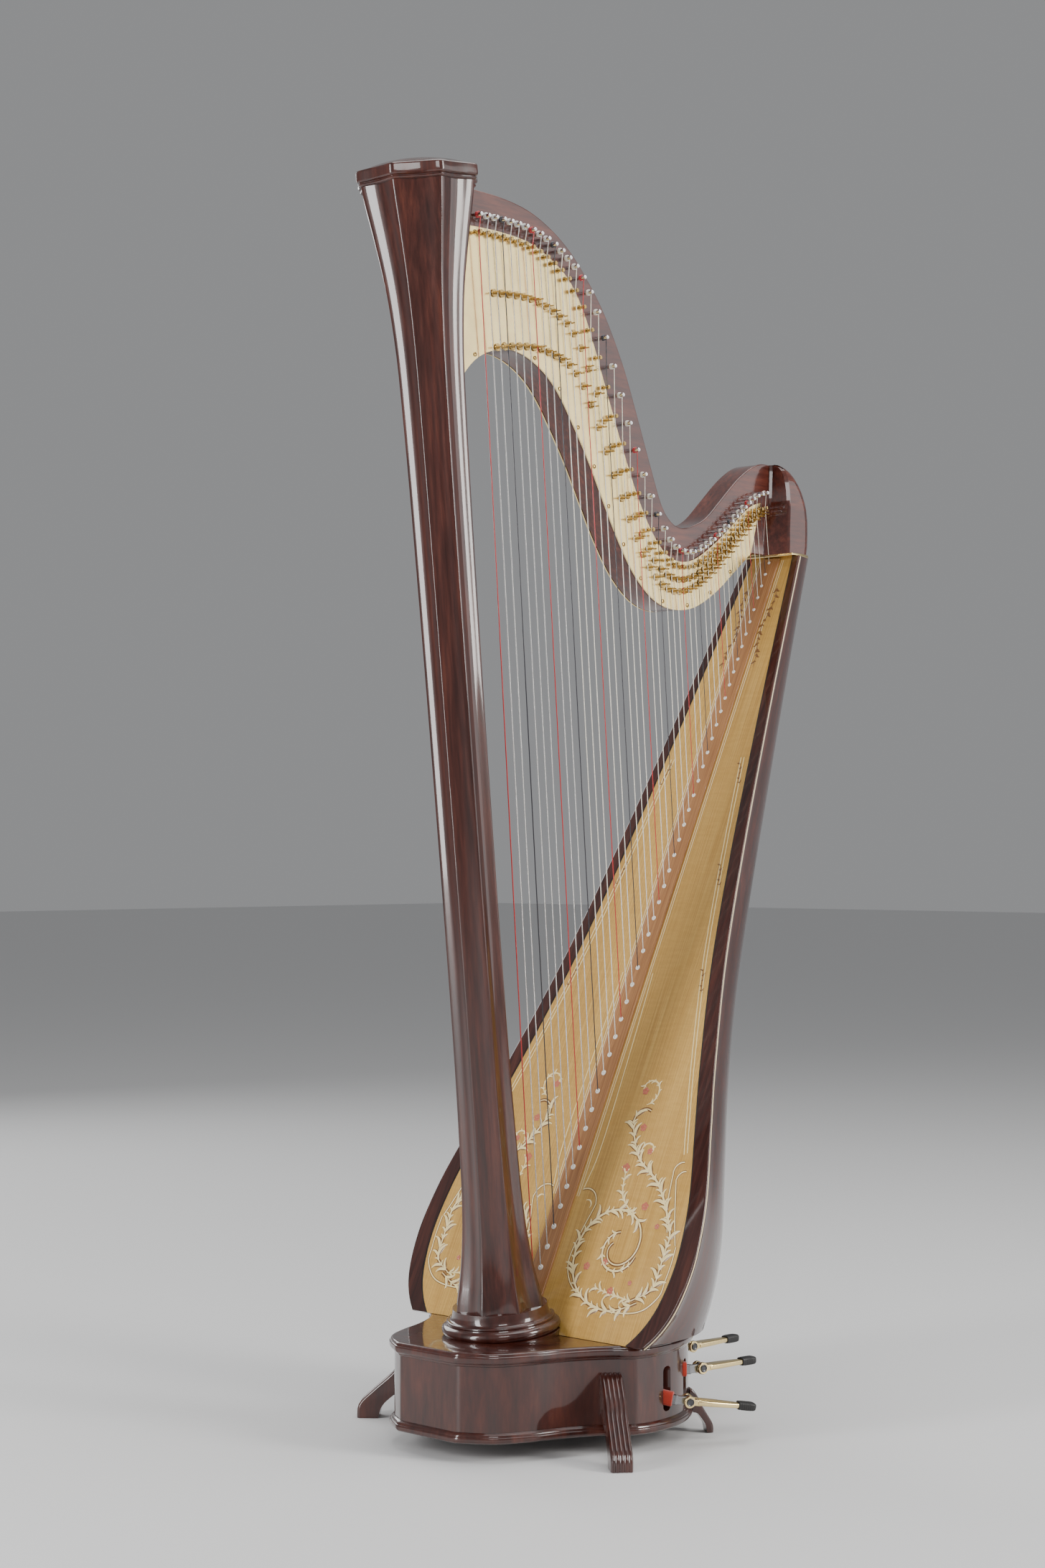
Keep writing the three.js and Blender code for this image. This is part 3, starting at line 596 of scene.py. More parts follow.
COLUMN_WOOD = lacquered_wood("column_wood", (150, 150, 9), tone=1.25)
NECK_WOOD = lacquered_wood("neck_wood", (14, 160, 120), turn=(0, 35, 0), tone=1.9)
SHELL_WOOD = lacquered_wood("shell_wood", (120, 130, 8), tone=1.3)
BORDER_WOOD = lacquered_wood("border_wood", (90, 150, 9), tone=1.1)
BASE_WOOD = lacquered_wood("base_wood", (70, 70, 12), turn=(0, 0, 12), tone=1.15)
SPRUCE = spruce()
STRIP_WOOD = strip_wood()
PLATE_BRASS = metal("plate_brass", (0.96, 0.76, 0.37), 0.2, brush=(14, 300, 300), streak=0.06)
# Brass darkened as a painted dark reflection, for discs, nuts and screws; its dull patches are darker still.
DARK_REFLECTION_BRASS = metal("dark_reflection_brass", (0.52, 0.36, 0.14), 0.2, dull_darkening=0.1)
PEDAL_BRASS = metal("pedal_brass", (0.92, 0.72, 0.36), 0.19, brush=(40, 600, 600))
GILDING = ink("gilding", (0.92, 0.74, 0.36), 0.3)
STEEL = metal("plated_steel", (0.80, 0.81, 0.83), 0.14)
DARK_STEEL = metal("dark_steel", (0.30, 0.30, 0.31), 0.26)
BOLT_STEEL = metal("bolt_steel", (0.10, 0.10, 0.105), 0.3)
FELT = felt()
RUBBER = rubber()
BLACK_INLAY = ink("black_inlay", (0.008, 0.007, 0.007))
# Pale lines beside the string strip, and the painted highlight along the board's rounded outer edge.
PALE_INLAY_AND_EDGE_HIGHLIGHT = ink("pale_inlay_and_edge_highlight", (0.86, 0.70, 0.42), 0.35)
BROWN_LEAF = ink("brown_leaf", (0.20, 0.085, 0.022), 0.4)
OUTLINE_BROWN = ink("outline_brown", (0.17, 0.07, 0.016), 0.4)
FLOWER_RED = ink("flower_red", (0.50, 0.13, 0.07), 0.45)
IVORY = ink("ivory", (0.88, 0.84, 0.76), 0.3)
STRING_PALE = string_paint("string_pale", (0.80, 0.76, 0.66), 0.3, sheen=0.6)
STRING_RED = string_paint("string_red", (0.50, 0.008, 0.012), 0.3, sheen=0.6)
STRING_DARK = string_paint("string_dark", (0.012, 0.012, 0.022), 0.3, sheen=0.6)
STRING_WOUND = string_paint("string_wound", (0.72, 0.71, 0.69), 0.3, ribs=900)


# ---- Column ----


def fluted_ring(height, radius, depth):
    """Ring of eight hollow flutes whose ridges are rounded a little."""
    per_flute = 16
    soft = 0.09
    ring = []
    for i in range(FLUTES * per_flute):
        across = sin(pi * (i % per_flute) / per_flute)
        hollow = (sqrt(across * across + soft * soft) - soft) / (sqrt(1 + soft * soft) - soft)
        angle = (i / per_flute - 0.5) / FLUTES * 2 * pi
        reach = radius * (1 - depth * hollow)
        ring.append((reach * cos(angle), reach * sin(angle), height))
    return ring


def build_column():
    levels = steps(COLUMN_START - 4, COLUMN_END + 2, 90)
    rings = [fluted_ring(h, table(COLUMN_PROFILE, h), FLUTE_DEPTH) for h in levels]
    make("column_post", loft(rings), COLUMN_WOOD, COLUMN, sharp=50, replaces=["column"])


def build_cap():
    # Height above the column's end, radius and depth of the flutes.
    profile = [
        (-3, 88, 0.13), (-1.5, 90.5, 0.12), (0, 91.5, 0.12), (1.2, 91, 0.12), (1.8, 89.8, 0.12),
        (2.6, 90.2, 0.12), (3.6, 92.6, 0.11), (5.2, 94, 0.1), (7, 94.3, 0.1), (17, 94, 0.1),
        (18.8, 93.2, 0.1), (20, 91.5, 0.09), (20.6, 89, 0.08), (21.2, 84, 0.06), (23.5, 78, 0.04),
        (27, 68, 0.02), (30.5, 54, 0), (33, 38, 0), (34.8, 20, 0), (35.4, 6, 0),
    ]
    rings = [fluted_ring(COLUMN_END + h, radius, depth) for h, radius, depth in profile]
    make("column_crown", loft(rings), COLUMN_WOOD, COLUMN, sharp=40, replaces=["column_cap"])


def build_collar():
    profile = [
        (30, -24), (86, -24), (86, -9.5), (87.5, -9), (87.8, -7.6), (86.5, -6.8),
        *arc(80, 0.5, 8, -65, 70), (81.2, 8.6), (80.8, 9.6), *arc(77.5, 11.6, 2.6, -40, 120, 8),
        (74.4, 14.2), (72.4, 17), (71.2, 22), (70, 30),
    ]
    make("column_torus", revolve(profile, 96), BASE_WOOD, COLUMN, sharp=45, replaces=["column_collar"])


# ---- Soundbox ----


def board_half(level):
    return table(BOARD_WIDTHS, level)


def field_half(level):
    """Half width of the spruce field: the border round it narrows towards the top."""
    return board_half(level) - BORDER_LOW + BORDER_FALL * level


def board_strip(levels, inner, outer, face, thick, soft=0.0):
    """Band on both sides of the board between two half widths; soft rounds its outer edge."""
    shapes = []
    for side in (-1, 1):
        rings = []
        for t in levels:
            y0, y1 = inner(t), outer(t)
            ring = [(face, side * y0, t), (face, side * (y1 - soft), t)]
            if soft:
                ring += [(face + soft * a, side * (y1 - soft * b), t) for a, b in ((0.12, 0.5), (0.5, 0.12))]
            ring += [(face + soft, side * y1, t), (face + thick, side * y1, t), (face + thick, side * y0, t)]
            rings.append(ring)
        shapes.append(loft(rings))
    return joined(shapes)


def build_soundboard():
    levels = steps(BOARD_BOTTOM, BOARD_TOP, 150)
    back = BOARD_FACE + BOARD_THICK
    corners = [(BOARD_FACE, -1), (BOARD_FACE, 1), (back, 1), (back, -1)]
    field = [[(x, side * field_half(t), t) for x, side in corners] for t in levels]
    make("spruce_field", loft(field), SPRUCE, BOARD, replaces=["soundboard"])
    lines = board_strip(levels, lambda t: field_half(t) - 0.2, lambda t: field_half(t) + INLAY_WIDTH,
                        BOARD_FACE - 0.2, BOARD_THICK)
    make("black_inlay_lines", lines, BLACK_INLAY, BOARD)
    # Pale strip on the board's outer edge: a painted highlight of its rounded edge.
    edge = board_strip(levels, lambda t: board_half(t) - 0.9, lambda t: board_half(t) + 0.5,
                       BOARD_FACE + 2.1, 1.6)
    make("painted_edge_highlight", edge, PALE_INLAY_AND_EDGE_HIGHLIGHT, BOARD)
    border = board_strip(levels, lambda t: field_half(t) + INLAY_WIDTH, board_half,
                         BOARD_FACE - 0.6, BOARD_THICK + 0.6, soft=2.5)
    make("board_border", border, BORDER_WOOD, BOARD, sharp=60)


def build_string_strip():
    """The anchoring strip with its two ridges, and a pair of pale lines on each side of it."""
    half = STRIP_HALF
    section = [(3.6, -half), (1.2, -half), (0.4, -half + 0.9), (0.35, -half + 4), (0.0, -half + 5.2)]
    section += [(0.0, half - 5.2), (0.35, half - 4), (0.4, half - 0.9), (1.2, half), (3.6, half)]
    rings = [[(x, y, t) for x, y in section] for t in steps(-12, 1274, 60)]
    make("string_strip", loft(rings), STRIP_WOOD, BOARD, sharp=60, replaces=["strings"])
    lines = []
    for side in (-1, 1):
        for reach in (half + 3.2, half + 7.2):
            path = [(BOARD_FACE - 0.05, side * reach, t) for t in steps(150, 1272, 40)]
            lines.append(tube(path, 0.6, sides=6, flat=0.35))
    make("strip_lines", joined(lines), PALE_INLAY_AND_EDGE_HIGHLIGHT, BOARD)


def shell_section(level, inset):
    """Half-round cross-section of the back, from one edge of the board to the other."""
    start = BOARD_FACE + BOARD_THICK + GAP
    width = board_half(level) - SHELL_INSET - inset
    depth = table(SHELL_DEPTHS, level) - inset
    ring = []
    for angle in angles(0, 180, 44):
        back = depth * sin(angle)
        flare = SHELL_WAIST + (1 - SHELL_WAIST) * exp(-back / 16)
        ring.append((start + back, -width * flare * cos(angle), level))
    return ring


def build_shell():
    rings = []
    for level in steps(-109, 1329, 96):
        rings.append(shell_section(level, 0) + list(reversed(shell_section(level, SHELL_WALL))))
    shell = loft(rings)
    for low, high in ((-900, BASE_TOP + GAP), (SHELL_TOP, 2400)):
        end = block((-900, -900, low), (900, 900, high))
        shell = subtracted(shell, moved(end, BOARD.inverted() @ WORLD))
    beads = []
    for level, radius in SOUND_HOLES:
        place = shift(table(SHELL_DEPTHS, level), 0, level) @ Matrix.Diagonal((1, 1, HOLE_STRETCH, 1))
        hole = revolve([(radius, -100), (radius, 100)], 48, axis="X")
        shell = subtracted(shell, moved(hole, place))
        beads.append(hole_bead(level, radius))
    make("soundbox_back", shell, SHELL_WOOD, BOARD, sharp=45, replaces=["soundbox_shell"])
    make("sound_hole_beads", joined(beads), BLACK_INLAY, BOARD, sharp=60)


def hole_bead(level, radius):
    """Thin rim that follows the curved back round one oval sound hole."""
    path = []
    for angle in angles(0, 360, 64):
        t = level + HOLE_STRETCH * (radius + 1) * sin(angle)
        y = (radius + 1) * cos(angle)
        width = (board_half(t) - SHELL_INSET) * SHELL_WAIST
        reach = table(SHELL_DEPTHS, t) * sqrt(max(0.0, 1 - (y / width) ** 2))
        path.append((BOARD_FACE + BOARD_THICK + GAP + reach - 0.3, y, t))
    return tube(path, 2.2, sides=8)


# ---- Gilded ornament on the soundboard ----


def on_board(points, lift=0.0):
    return [(BOARD_FACE - 0.1 - lift, y, t) for y, t in points]


def stem(points, width):
    """Raised gilded line, thin at both ends."""
    path = smooth(points, 7 * len(points))
    last = len(path) - 1
    radii = [width * (0.45 + 0.55 * sin(pi * i / last)) for i in range(last + 1)]
    return tube(on_board(path), radii, sides=6, flat=0.45)


def rule(points, width):
    """Raised gilded line of even width."""
    path = smooth(points, 6 * len(points))
    return tube(on_board(path), width, sides=6, flat=0.45)


def leaf(y, t, angle, length, side, grow):
    """Thin curling acanthus lobe; grow widens it for the shading under it."""
    turn = radians(angle)
    path = []
    radii = []
    for share in steps(0, 1, 10):
        along = length * (share - 0.25 * share ** 3)
        aside = side * 0.42 * length * share ** 2
        path.append((
            y + along * cos(turn) - aside * sin(turn),
            t + along * sin(turn) + aside * cos(turn),
        ))
        radii.append(0.35 + grow + length * 0.14 * sin(pi * share ** 0.7))
    return tube(on_board(path, lift=-0.5 * grow), radii, sides=6, flat=0.3)


def leaves_along(points, size, first, last, count, grow=0.0):
    """Pairs of lobes that curl away from both sides of a stem."""
    path = smooth(points, 90)
    shapes = []
    for i in range(count):
        at = int((first + (last - first) * i / (count - 1)) * 88)
        run = path[at + 1] - path[at]
        angle = degrees(atan2(run.y, run.x))
        for hand in (-1, 1):
            length = size * (0.68 + 0.32 * cos(i * 1.9 + hand))
            lean = hand * (15 + 9 * sin(i * 2.3))
            shapes.append(leaf(path[at].x, path[at].y, angle + lean, length, hand, grow))
    return shapes


def flower(y, t, size):
    shapes = []
    profile = [(0.2, -0.5), (size * 0.36, -0.4), (size * 0.42, 0), (size * 0.2, 0.45), (0.1, 0.5)]
    petal = revolve(profile, 10, axis="X")
    for turn in around(5):
        angle = turn + 0.3
        where = shift(BOARD_FACE - 0.3, y + size * 0.5 * cos(angle), t + size * 0.5 * sin(angle))
        shapes.append(moved(petal, where))
    return shapes


def spiral(centre, start, end, first, turn, fall=1.0, count=16):
    """Points that wind about a centre from one radius to another; first and turn are in degrees."""
    points = []
    for share in steps(0, 1, count):
        radius = end + (start - end) * (1 - share) ** fall
        angle = radians(first + turn * share)
        points.append((centre[0] + radius * cos(angle), centre[1] + radius * sin(angle)))
    return points


def along_edge(inset, low, high, count):
    """Points that keep a distance from the inlaid edge of the board's -Y half."""
    return [(inset - field_half(t), t) for t in steps(low, high, count)]


# The ornament is drawn for the -Y half of the board: (across, up) in millimetres.
BIG_SCROLL = spiral((-130, 80), 104, 10, -132, 530, fall=1.3, count=26)
INNER_SCROLL = spiral((-136, 77), 28, 35, 77, -245)
TALL_STEM = [
    (-187, 4), *along_edge(26, 25, 115, 3), (-175, 180), (-120, 220),
    *spiral((-108, 280), 22, 17, -35, 150, count=5),
]
TOP_CURL = spiral((-98, 328), 24, 9, -100, -300)
SIDE_CURL = spiral((-133, 233), 14, 9, -35, 230, count=8)
CENTRE_SPRIG = [(-147, 129), (-112, 158), (-102, 200)]
LOW_SPRAY = [(-190, 4), (-150, 9), (-112, 16)]
FRAME_HOOK = [
    *spiral((-40, 141), 23, 24, 65, 125, count=6), (-52, 90), (-48, 45), (-75, 8), (-140, -15), (-205, -11),
    *along_edge(8, 15, 92, 3),
]
FRAME_BRACKET = [(-238, 94), (-222, 135), *spiral((-217, 193), 14, 14, -25, 115, count=5)]
FRAME_OUTER = [(-216, 112), (-201, 151), *spiral((-209, 205), 16, 16, -20, 110, count=5)]
HOOK_CURL = spiral((-48, 138), 9, 7, 60, 150, count=6)
FLOWERS = [
    (-92, 326, 7), (-110, 268, 7), (-137, 232, 6), (-101, 203, 8), (-160, 147, 7.5), (-194, 119, 5),
    (-85, 46, 7), (-117, 56, 6), (-144, 14, 7), (-176, 30, 4.5),
]
INNER_LINE = [(-31, 164), (-39, 228), (-37, 360), (-31, 520)]
SCROLLS = (BIG_SCROLL, INNER_SCROLL, TALL_STEM)
TENDRILS = (TOP_CURL, SIDE_CURL, CENTRE_SPRIG, LOW_SPRAY, HOOK_CURL)
FRAME_LINES = (FRAME_HOOK, FRAME_BRACKET, FRAME_OUTER)
UPPER_SPRAY = [(-29 - 5 * sin(1.4 * i), 1224 - 26 * i) for i in range(7)]
SPRIG_HEIGHTS = (510, 690, 870)


def mirrored(points, side):
    """Points of the -Y half as they are drawn (side 1), or carried to the +Y half (side -1)."""
    return [(side * y, t) for y, t in points]


# Stems with lobes: points, lobe size, first and last share of the stem, lobe pairs.
LEAFED = [
    (BIG_SCROLL, 27, 0.03, 0.72, 24),
    (TALL_STEM, 28, 0.03, 0.94, 30),
    (INNER_SCROLL, 15, 0.06, 0.88, 9),
    (CENTRE_SPRIG, 18, 0.05, 0.95, 8),
    (LOW_SPRAY, 18, 0.05, 0.95, 8),
    (TOP_CURL, 11, 0.08, 0.85, 7),
    (SIDE_CURL, 9, 0.1, 0.8, 4),
]


def half_ornament(side):
    """Gilded lines of one half of the board; side is 1 for the -Y half and -1 for +Y."""
    gold = []
    for draw, lines, width in ((stem, SCROLLS, 2.0), (stem, TENDRILS, 1.3), (rule, FRAME_LINES, 1.2)):
        gold += [draw(mirrored(points, side), width) for points in lines]
    for points, *leaves in LEAFED:
        gold += leaves_along(mirrored(points, side), *leaves)
    for points in (along_edge(11, 235, 900, 24), along_edge(17, 232, 900, 24), INNER_LINE):
        gold.append(rule(mirrored(points, side), 0.8))
    return gold


def half_outline(side):
    """Brown shading laid under the gilding, a little wider than it."""
    shapes = []
    for points, *leaves in LEAFED:
        shapes += leaves_along(mirrored(points, side), *leaves, grow=1.0)
    for lines, width, flat in ((SCROLLS, 3.8, 0.13), (FRAME_LINES, 2.6, 0.17)):
        for points in lines:
            path = smooth(mirrored(points, side), 7 * len(points))
            shapes.append(tube(on_board(path, lift=-0.25), width, sides=6, flat=flat))
    return shapes


def sprays(side):
    """Thin brown sprigs near the top of the board and along its edge."""
    shapes = [stem(mirrored(UPPER_SPRAY, side), 0.9)]
    shapes += leaves_along(mirrored(UPPER_SPRAY, side), 14, 0.05, 0.95, 13)
    for t in SPRIG_HEIGHTS:
        y = 13 - field_half(t)
        sprig = [(y - 8, t - 20), (y, t - 6), (y + 2, t + 8), (y + 8, t + 22)]
        shapes.append(stem(mirrored(sprig, side), 0.6))
        shapes += leaves_along(mirrored(sprig, side), 8, 0.1, 0.9, 5)
    return shapes


def build_ornament():
    gold = half_ornament(-1) + half_ornament(1)
    make("gilded_scrolls", joined(gold), GILDING, BOARD, sharp=60)
    make("scroll_shading", joined(half_outline(-1) + half_outline(1)), OUTLINE_BROWN, BOARD,
         sharp=60)
    make("brown_sprays", joined(sprays(-1) + sprays(1)), BROWN_LEAF, BOARD,
         sharp=60)
    petals = []
    for side in (-1, 1):
        for y, t, size in FLOWERS:
            petals += flower(side * y, t, size)
    make("red_flowers", joined(petals), FLOWER_RED, BOARD, sharp=60)


# ---- Strings ----


def neck_curve(points, count):
    return smooth([(x - NECK_PIVOT, z) for x, z in points], count)


def moved_edge(distance):
    """The plate's top edge moved square to itself."""
    edge = neck_curve(PLATE_TOP, 120)
    curve = []
    for i, point in enumerate(edge):
        run = run_at(edge, i)
        curve.append(Vector((point.x - run.y * distance, point.y + run.x * distance)))
    return curve


NUT_CURVE = moved_edge(-NUT_INSET)
PIN_CURVE = moved_edge(PIN_OFFSET)


def meet(anchor, lean, curve):
    """Where a leaning line from the anchor meets a curve drawn in the neck's frame."""
    def along(point):
        return anchor.x - (point.y - anchor.z) * tan(lean) - point.x

    ahead = next(i for i, point in enumerate(curve) if along(point) < 0)
    before, after = curve[ahead - 1], curve[ahead]
    share = along(before) / (along(before) - along(after))
    point = before.lerp(after, share)
    return Vector((point.x, STRING_PLANE, point.y))


def string_height(string):
    """How far up the board a string is anchored; the spacing narrows evenly."""
    return string * (PITCH_BASS - PITCH_DROP * string)


def string_route(string):
    """Anchor, bridge nut and tuning pin of a string, in the neck's frame."""
    share = string / (STRINGS - 1)
    anchor = NECK.inverted() @ (BOARD @ Vector((0, 0, string_height(string))))
    lean = radians(LEAN_BASS + (LEAN_TREBLE - LEAN_BASS) * share * share)
    return anchor, meet(anchor, lean, NUT_CURVE), meet(anchor, lean, PIN_CURVE)


ROUTES = [string_route(i) for i in range(STRINGS)]


def string_radius(string):
    return 0.9 - 0.5 * string / (STRINGS - 1)


def string_paint_of(string):
    letter = NOTES[string % 7]
    if letter == "c":
        return "red"
    if letter == "f":
        return "dark"
    return "wound" if string < WOUND_STRINGS else "pale"


def coil_radius(string):
    return PIN_RADIUS + string_radius(string) + 0.2


def string_path(string):
    """From the board over the bridge nut, then round the tuning pin."""
    anchor, nut, pin = ROUTES[string]
    radius = coil_radius(string)
    path = [anchor, nut]
    for turn in steps(0, COIL_TURNS, 44):
        angle = 2 * pi * turn
        y = STRING_PLANE + COIL_START + COIL_PITCH * turn
        path.append(Vector((pin.x + radius * cos(angle), y, pin.z + radius * sin(angle))))
    return path


def build_strings():
    groups = {"red": [], "dark": [], "wound": [], "pale": []}
    for string in range(STRINGS):
        shape = tube(string_path(string), string_radius(string), 6, up=(0, 1, 0.01))
        groups[string_paint_of(string)].append(shape)
    paints = {"red": STRING_RED, "dark": STRING_DARK, "wound": STRING_WOUND, "pale": STRING_PALE}
    for key, shapes in groups.items():
        make(f"strings_{key}", joined(shapes), paints[key], NECK, sharp=80)


def build_eyelets():
    """Turned eyelet and the string's knot for every string on the anchoring strip."""
    rims = []
    knots = []
    for string in range(STRINGS):
        place = shift(z=string_height(string))
        size = 4.6 - 2.0 * string / STRINGS
        rim = revolve([(size * 0.25, 0.2), (size, 0.2), (size, -0.5), (size * 0.8, -1.1), (size * 0.45, -1.1),
                       (size * 0.25, -0.4)], 18, axis="X")
        rims.append(moved(rim, place))
        knot = revolve([(0.2, -2.4), (size * 0.34, -1.8), (size * 0.36, -0.8), (0.2, -0.2)], 10, axis="X")
        knots.append(moved(knot, place))
    make("string_eyelets", joined(rims), IVORY, BOARD, sharp=60)
    make("string_knots", joined(knots), STRING_PALE, BOARD, sharp=60)


# ---- Neck ----


def build_neck():
    top = neck_curve(NECK_TOP, 110)
    bottom = list(reversed(neck_curve(PLATE_BOTTOM, 90)))
    corner = (NECK_TOP[-1][0] - NECK_PIVOT, PLATE_BOTTOM[-1][1])
    body = rounded(prism([*top, corner, *bottom], NECK_FACE, NECK_BACK), 2.2, 3, 50)
    make("neck_beam", body, NECK_WOOD, NECK, replaces=["neck"])


def plate(low):
    top = neck_curve(PLATE_TOP, 90)
    bottom = list(reversed(neck_curve(PLATE_BOTTOM, 90)))
    return rounded(prism([*top, *bottom], low, low + PLATE_THICK), 0.5, 2, 50)


def screw(x, z, face, out):
    """Slotted brass screw head; out is -1 on the left face and 1 on the right."""
    head = revolve([(0.4, 0), (3.4, 0), (3.3, 0.7), (2.4, 1.3), (0.4, 1.5)], 20, axis="Y")
    slot = block((-4, 0.9, -0.4), (4, 3, 0.4))
    turned = moved(subtracted(head, slot), spin((x * 7) % 180, "Y"))
    return moved(turned, shift(x, face, z) @ Matrix.Diagonal((1, out, 1, 1)))


def build_plates():
    right = NECK_BACK + GAP
    for side, low in (("left", PLATE_FACE), ("right", right)):
        make(f"{side}_plate", plate(low), PLATE_BRASS, NECK,
             replaces=[f"{side}_action_plate"])
    edge = neck_curve(PLATE_BOTTOM, 14)[1:-1]
    screws = []
    for i, point in enumerate(edge):
        run = run_at(edge, i)
        x, z = point.x - run.y * 7, point.y + run.x * 7
        screws.append(screw(x, z, PLATE_FACE, -1))
        screws.append(screw(x, z, right + PLATE_THICK, 1))
    make("plate_screws", joined(screws), DARK_REFLECTION_BRASS, NECK)


def disc_shape(scale, turned):
    """Round plate on its spindle, with two prongs either side of the string."""
    plate_profile = [
        (0.5, -0.5), (5.2, -0.5), (5.9, -0.9), (6.0, -1.8), (5.4, -2.5), (2.0, -2.5), (1.9, -3.4),
        (0.5, -3.5),
    ]
    disc = revolve([(r * scale, h) for r, h in plate_profile], 24, axis="Y")
    reach = 4.1 * scale
    prong_profile = [(0.3, -2.0), (1.15, -2.0), (1.15, -12.2), (1.0, -13.4), (0.3, -13.9)]
    prongs = [
        moved(revolve([(r * (0.5 + 0.5 * scale), h) for r, h in prong_profile], 12, axis="Y"),
              shift(side * reach, 0, 0))
        for side in (-1, 1)
    ]
    shape = moved(joined([disc, *prongs]), shift(y=PLATE_FACE))
    return moved(shape, spin(DISC_TURN if turned else 0, "Y"))


def nut_shape(scale):
    """Grooved bridge nut on its threaded post."""
    profile = [
        (0.5, 0.4), (4.2, 0.4), (4.2, -0.6), (2.1, -0.9), (2.1, -6.6), (3.1, -7.0), (3.3, -8.0), (2.3, -9.4),
        (2.3, -10.2), (3.3, -11.4), (3.2, -12.6), (2.4, -13.3), (0.5, -13.5),
    ]
    shape = revolve([(r * scale, h) for r, h in profile], 20, axis="Y")
    return moved(shape, shift(y=PLATE_FACE))


def pin_shape():
    """Tuning pin: bored string end on the left, square head on the right."""
    profile = [
        (0.3, -43.4), (2.2, -43.4), (3.0, -42.6), (PIN_RADIUS, -41.8), (PIN_RADIUS, 31), (2.6, 33), (0.3, 33),
    ]
    shaft = revolve(profile, 20, axis="Y")
    hole = revolve([(0.85, -8), (0.85, 8)], 10, axis="Z")
    shaft = subtracted(shaft, moved(hole, shift(0, -38.5, 0)))
    head = rounded(block((-2.1, 32, -2.1), (2.1, 44, 2.1)), 0.5, 2)
    return joined([shaft, head])


def build_action():
    size = [1.0 - 0.28 * max(0, i - 20) / STRINGS for i in range(STRINGS)]
    discs = []
    pins = []
    nuts = []
    pin = pin_shape()
    for string, (anchor, nut, top) in enumerate(ROUTES):
        letter = NOTES[string % 7]
        turned = PEDALS[letter].down
        own = OCTAVE_FIRST <= string < OCTAVE_FIRST + 7
        nuts.append(moved(nut_shape(size[string]), shift(nut.x + 2.2, 0, nut.z)))
        pin_place = shift(top.x, 0, top.z)
        if own:
            make(f"pin_{letter}", moved(pin, pin_place), STEEL, NECK, body=f"tuning_pin_{letter}",
                 replaces=[f"tuning_pin_{letter}"])
        else:
            pins.append(moved(pin, pin_place))
        if string < OPEN_STRINGS:
            continue
        for kind, share in (("natural", SEMITONE), ("sharp", WHOLE_TONE)):
            place = nut.lerp(anchor, share)
            shape = moved(disc_shape(size[string], turned), shift(place.x, 0, place.z))
            if own:
                make(f"{kind}_plate_{letter}", shape, DARK_REFLECTION_BRASS, NECK, body=f"{kind}_disc_{letter}",
                     replaces=[f"{kind}_disc_{letter}"])
            else:
                discs.append(shape)
    make("other_discs", joined(discs), DARK_REFLECTION_BRASS, NECK)
    make("other_tuning_pins", joined(pins), STEEL, NECK)
    make("bridge_nuts", joined(nuts), DARK_REFLECTION_BRASS, NECK)


def shoulder_ring(height, front, left, back):
    """Plan outline of the shoulder: its left face turns towards the neck's face lower down."""
    right = 55
    neck_left = 11
    corner = 22
    ring = [(front, neck_left), (front + 3, neck_left - 4), (433, left + 5), (437, left)]
    ring += arc(back - corner, left + corner, corner, -90, 0, 8)
    ring += arc(back - corner, right - corner, corner, 0, 90, 8)
    ring.append((front, right))
    return [(x, y, height) for x, y in ring]


def build_shoulder():
    # Height, front, left face and back of each level.
    sections = [
        (1357.2, 412, -27, 496), (1375, 413, -28, 498), (1396, 415, -28, 499), (1418, 418, -29, 497.5),
        (1436, 424, -29.5, 494), (1450, 429, -29, 489.5), (1464, 430.5, -28, 483.5), (1477, 431, -26, 476.5),
        (1488, 431.5, -23, 469.5), (1497, 432, -19, 463), (1504, 432, -13, 457), (1508.5, 432, -6, 455.2),
        (1510, 432, 2, 454.8),
    ]
    rings = [shoulder_ring(*section) for section in sections]
    make("shoulder_head", loft(rings), NECK_WOOD, sharp=30, replaces=["shoulder_block"])
    outline = [(413, 51), (413, -51), (440, -50.5), (464, -44), (484, -30), (494, -12), (496.5, 0)]
    outline += [(x, -y) for x, y in reversed(outline[2:-1])]
    trim = rounded(slab(outline, TRIM_LOW, TRIM_HIGH), 1.6, 4)
    make("shoulder_trim", trim, PLATE_BRASS)


# ---- Base ----


def base_plan():
    half = [tuple(p) for p in [*smooth(NOSE, 26), *smooth(FLANK, 46)[1:]]]
    return half + [(x, -y) for x, y in reversed(half[:-1])]


def grown(outline, distance):
    """An outline moved square to itself; a positive distance makes it larger."""
    count = len(outline)
    points = []
    for i in range(count):
        here = Vector(outline[i])
        before = (here - Vector(outline[i - 1])).normalized()
        after = (Vector(outline[(i + 1) % count]) - here).normalized()
        normal = Vector((-before.y - after.y, before.x + after.x)).normalized()
        stretch = distance / max(0.6, normal.dot(Vector((-before.y, before.x))))
        points.append((here.x + normal.x * stretch, here.y + normal.y * stretch))
    return points


def moulded(profile):
    """Loft over the base's plan from (height, reach beyond the wall) pairs."""
    plan = base_plan()
    return loft([[(x, y, height) for x, y in grown(plan, out)] for height, out in profile])


def pedal_line(pedal):
    """Frame whose X axis runs out along a pedal's lever."""
    return shift(PEDAL_CENTRE) @ spin(PEDALS[pedal].lever)


def slot_box(pedal):
    wall = PEDALS[pedal].wall
    low = PEDAL_HEIGHT - PEDAL_DROP - 14
    slot = rounded(block((wall - 70, -9, low), (wall + 50, 9, PEDAL_HEIGHT + 16)), 7.5, 5, 60)
    return moved(slot, pedal_line(pedal))


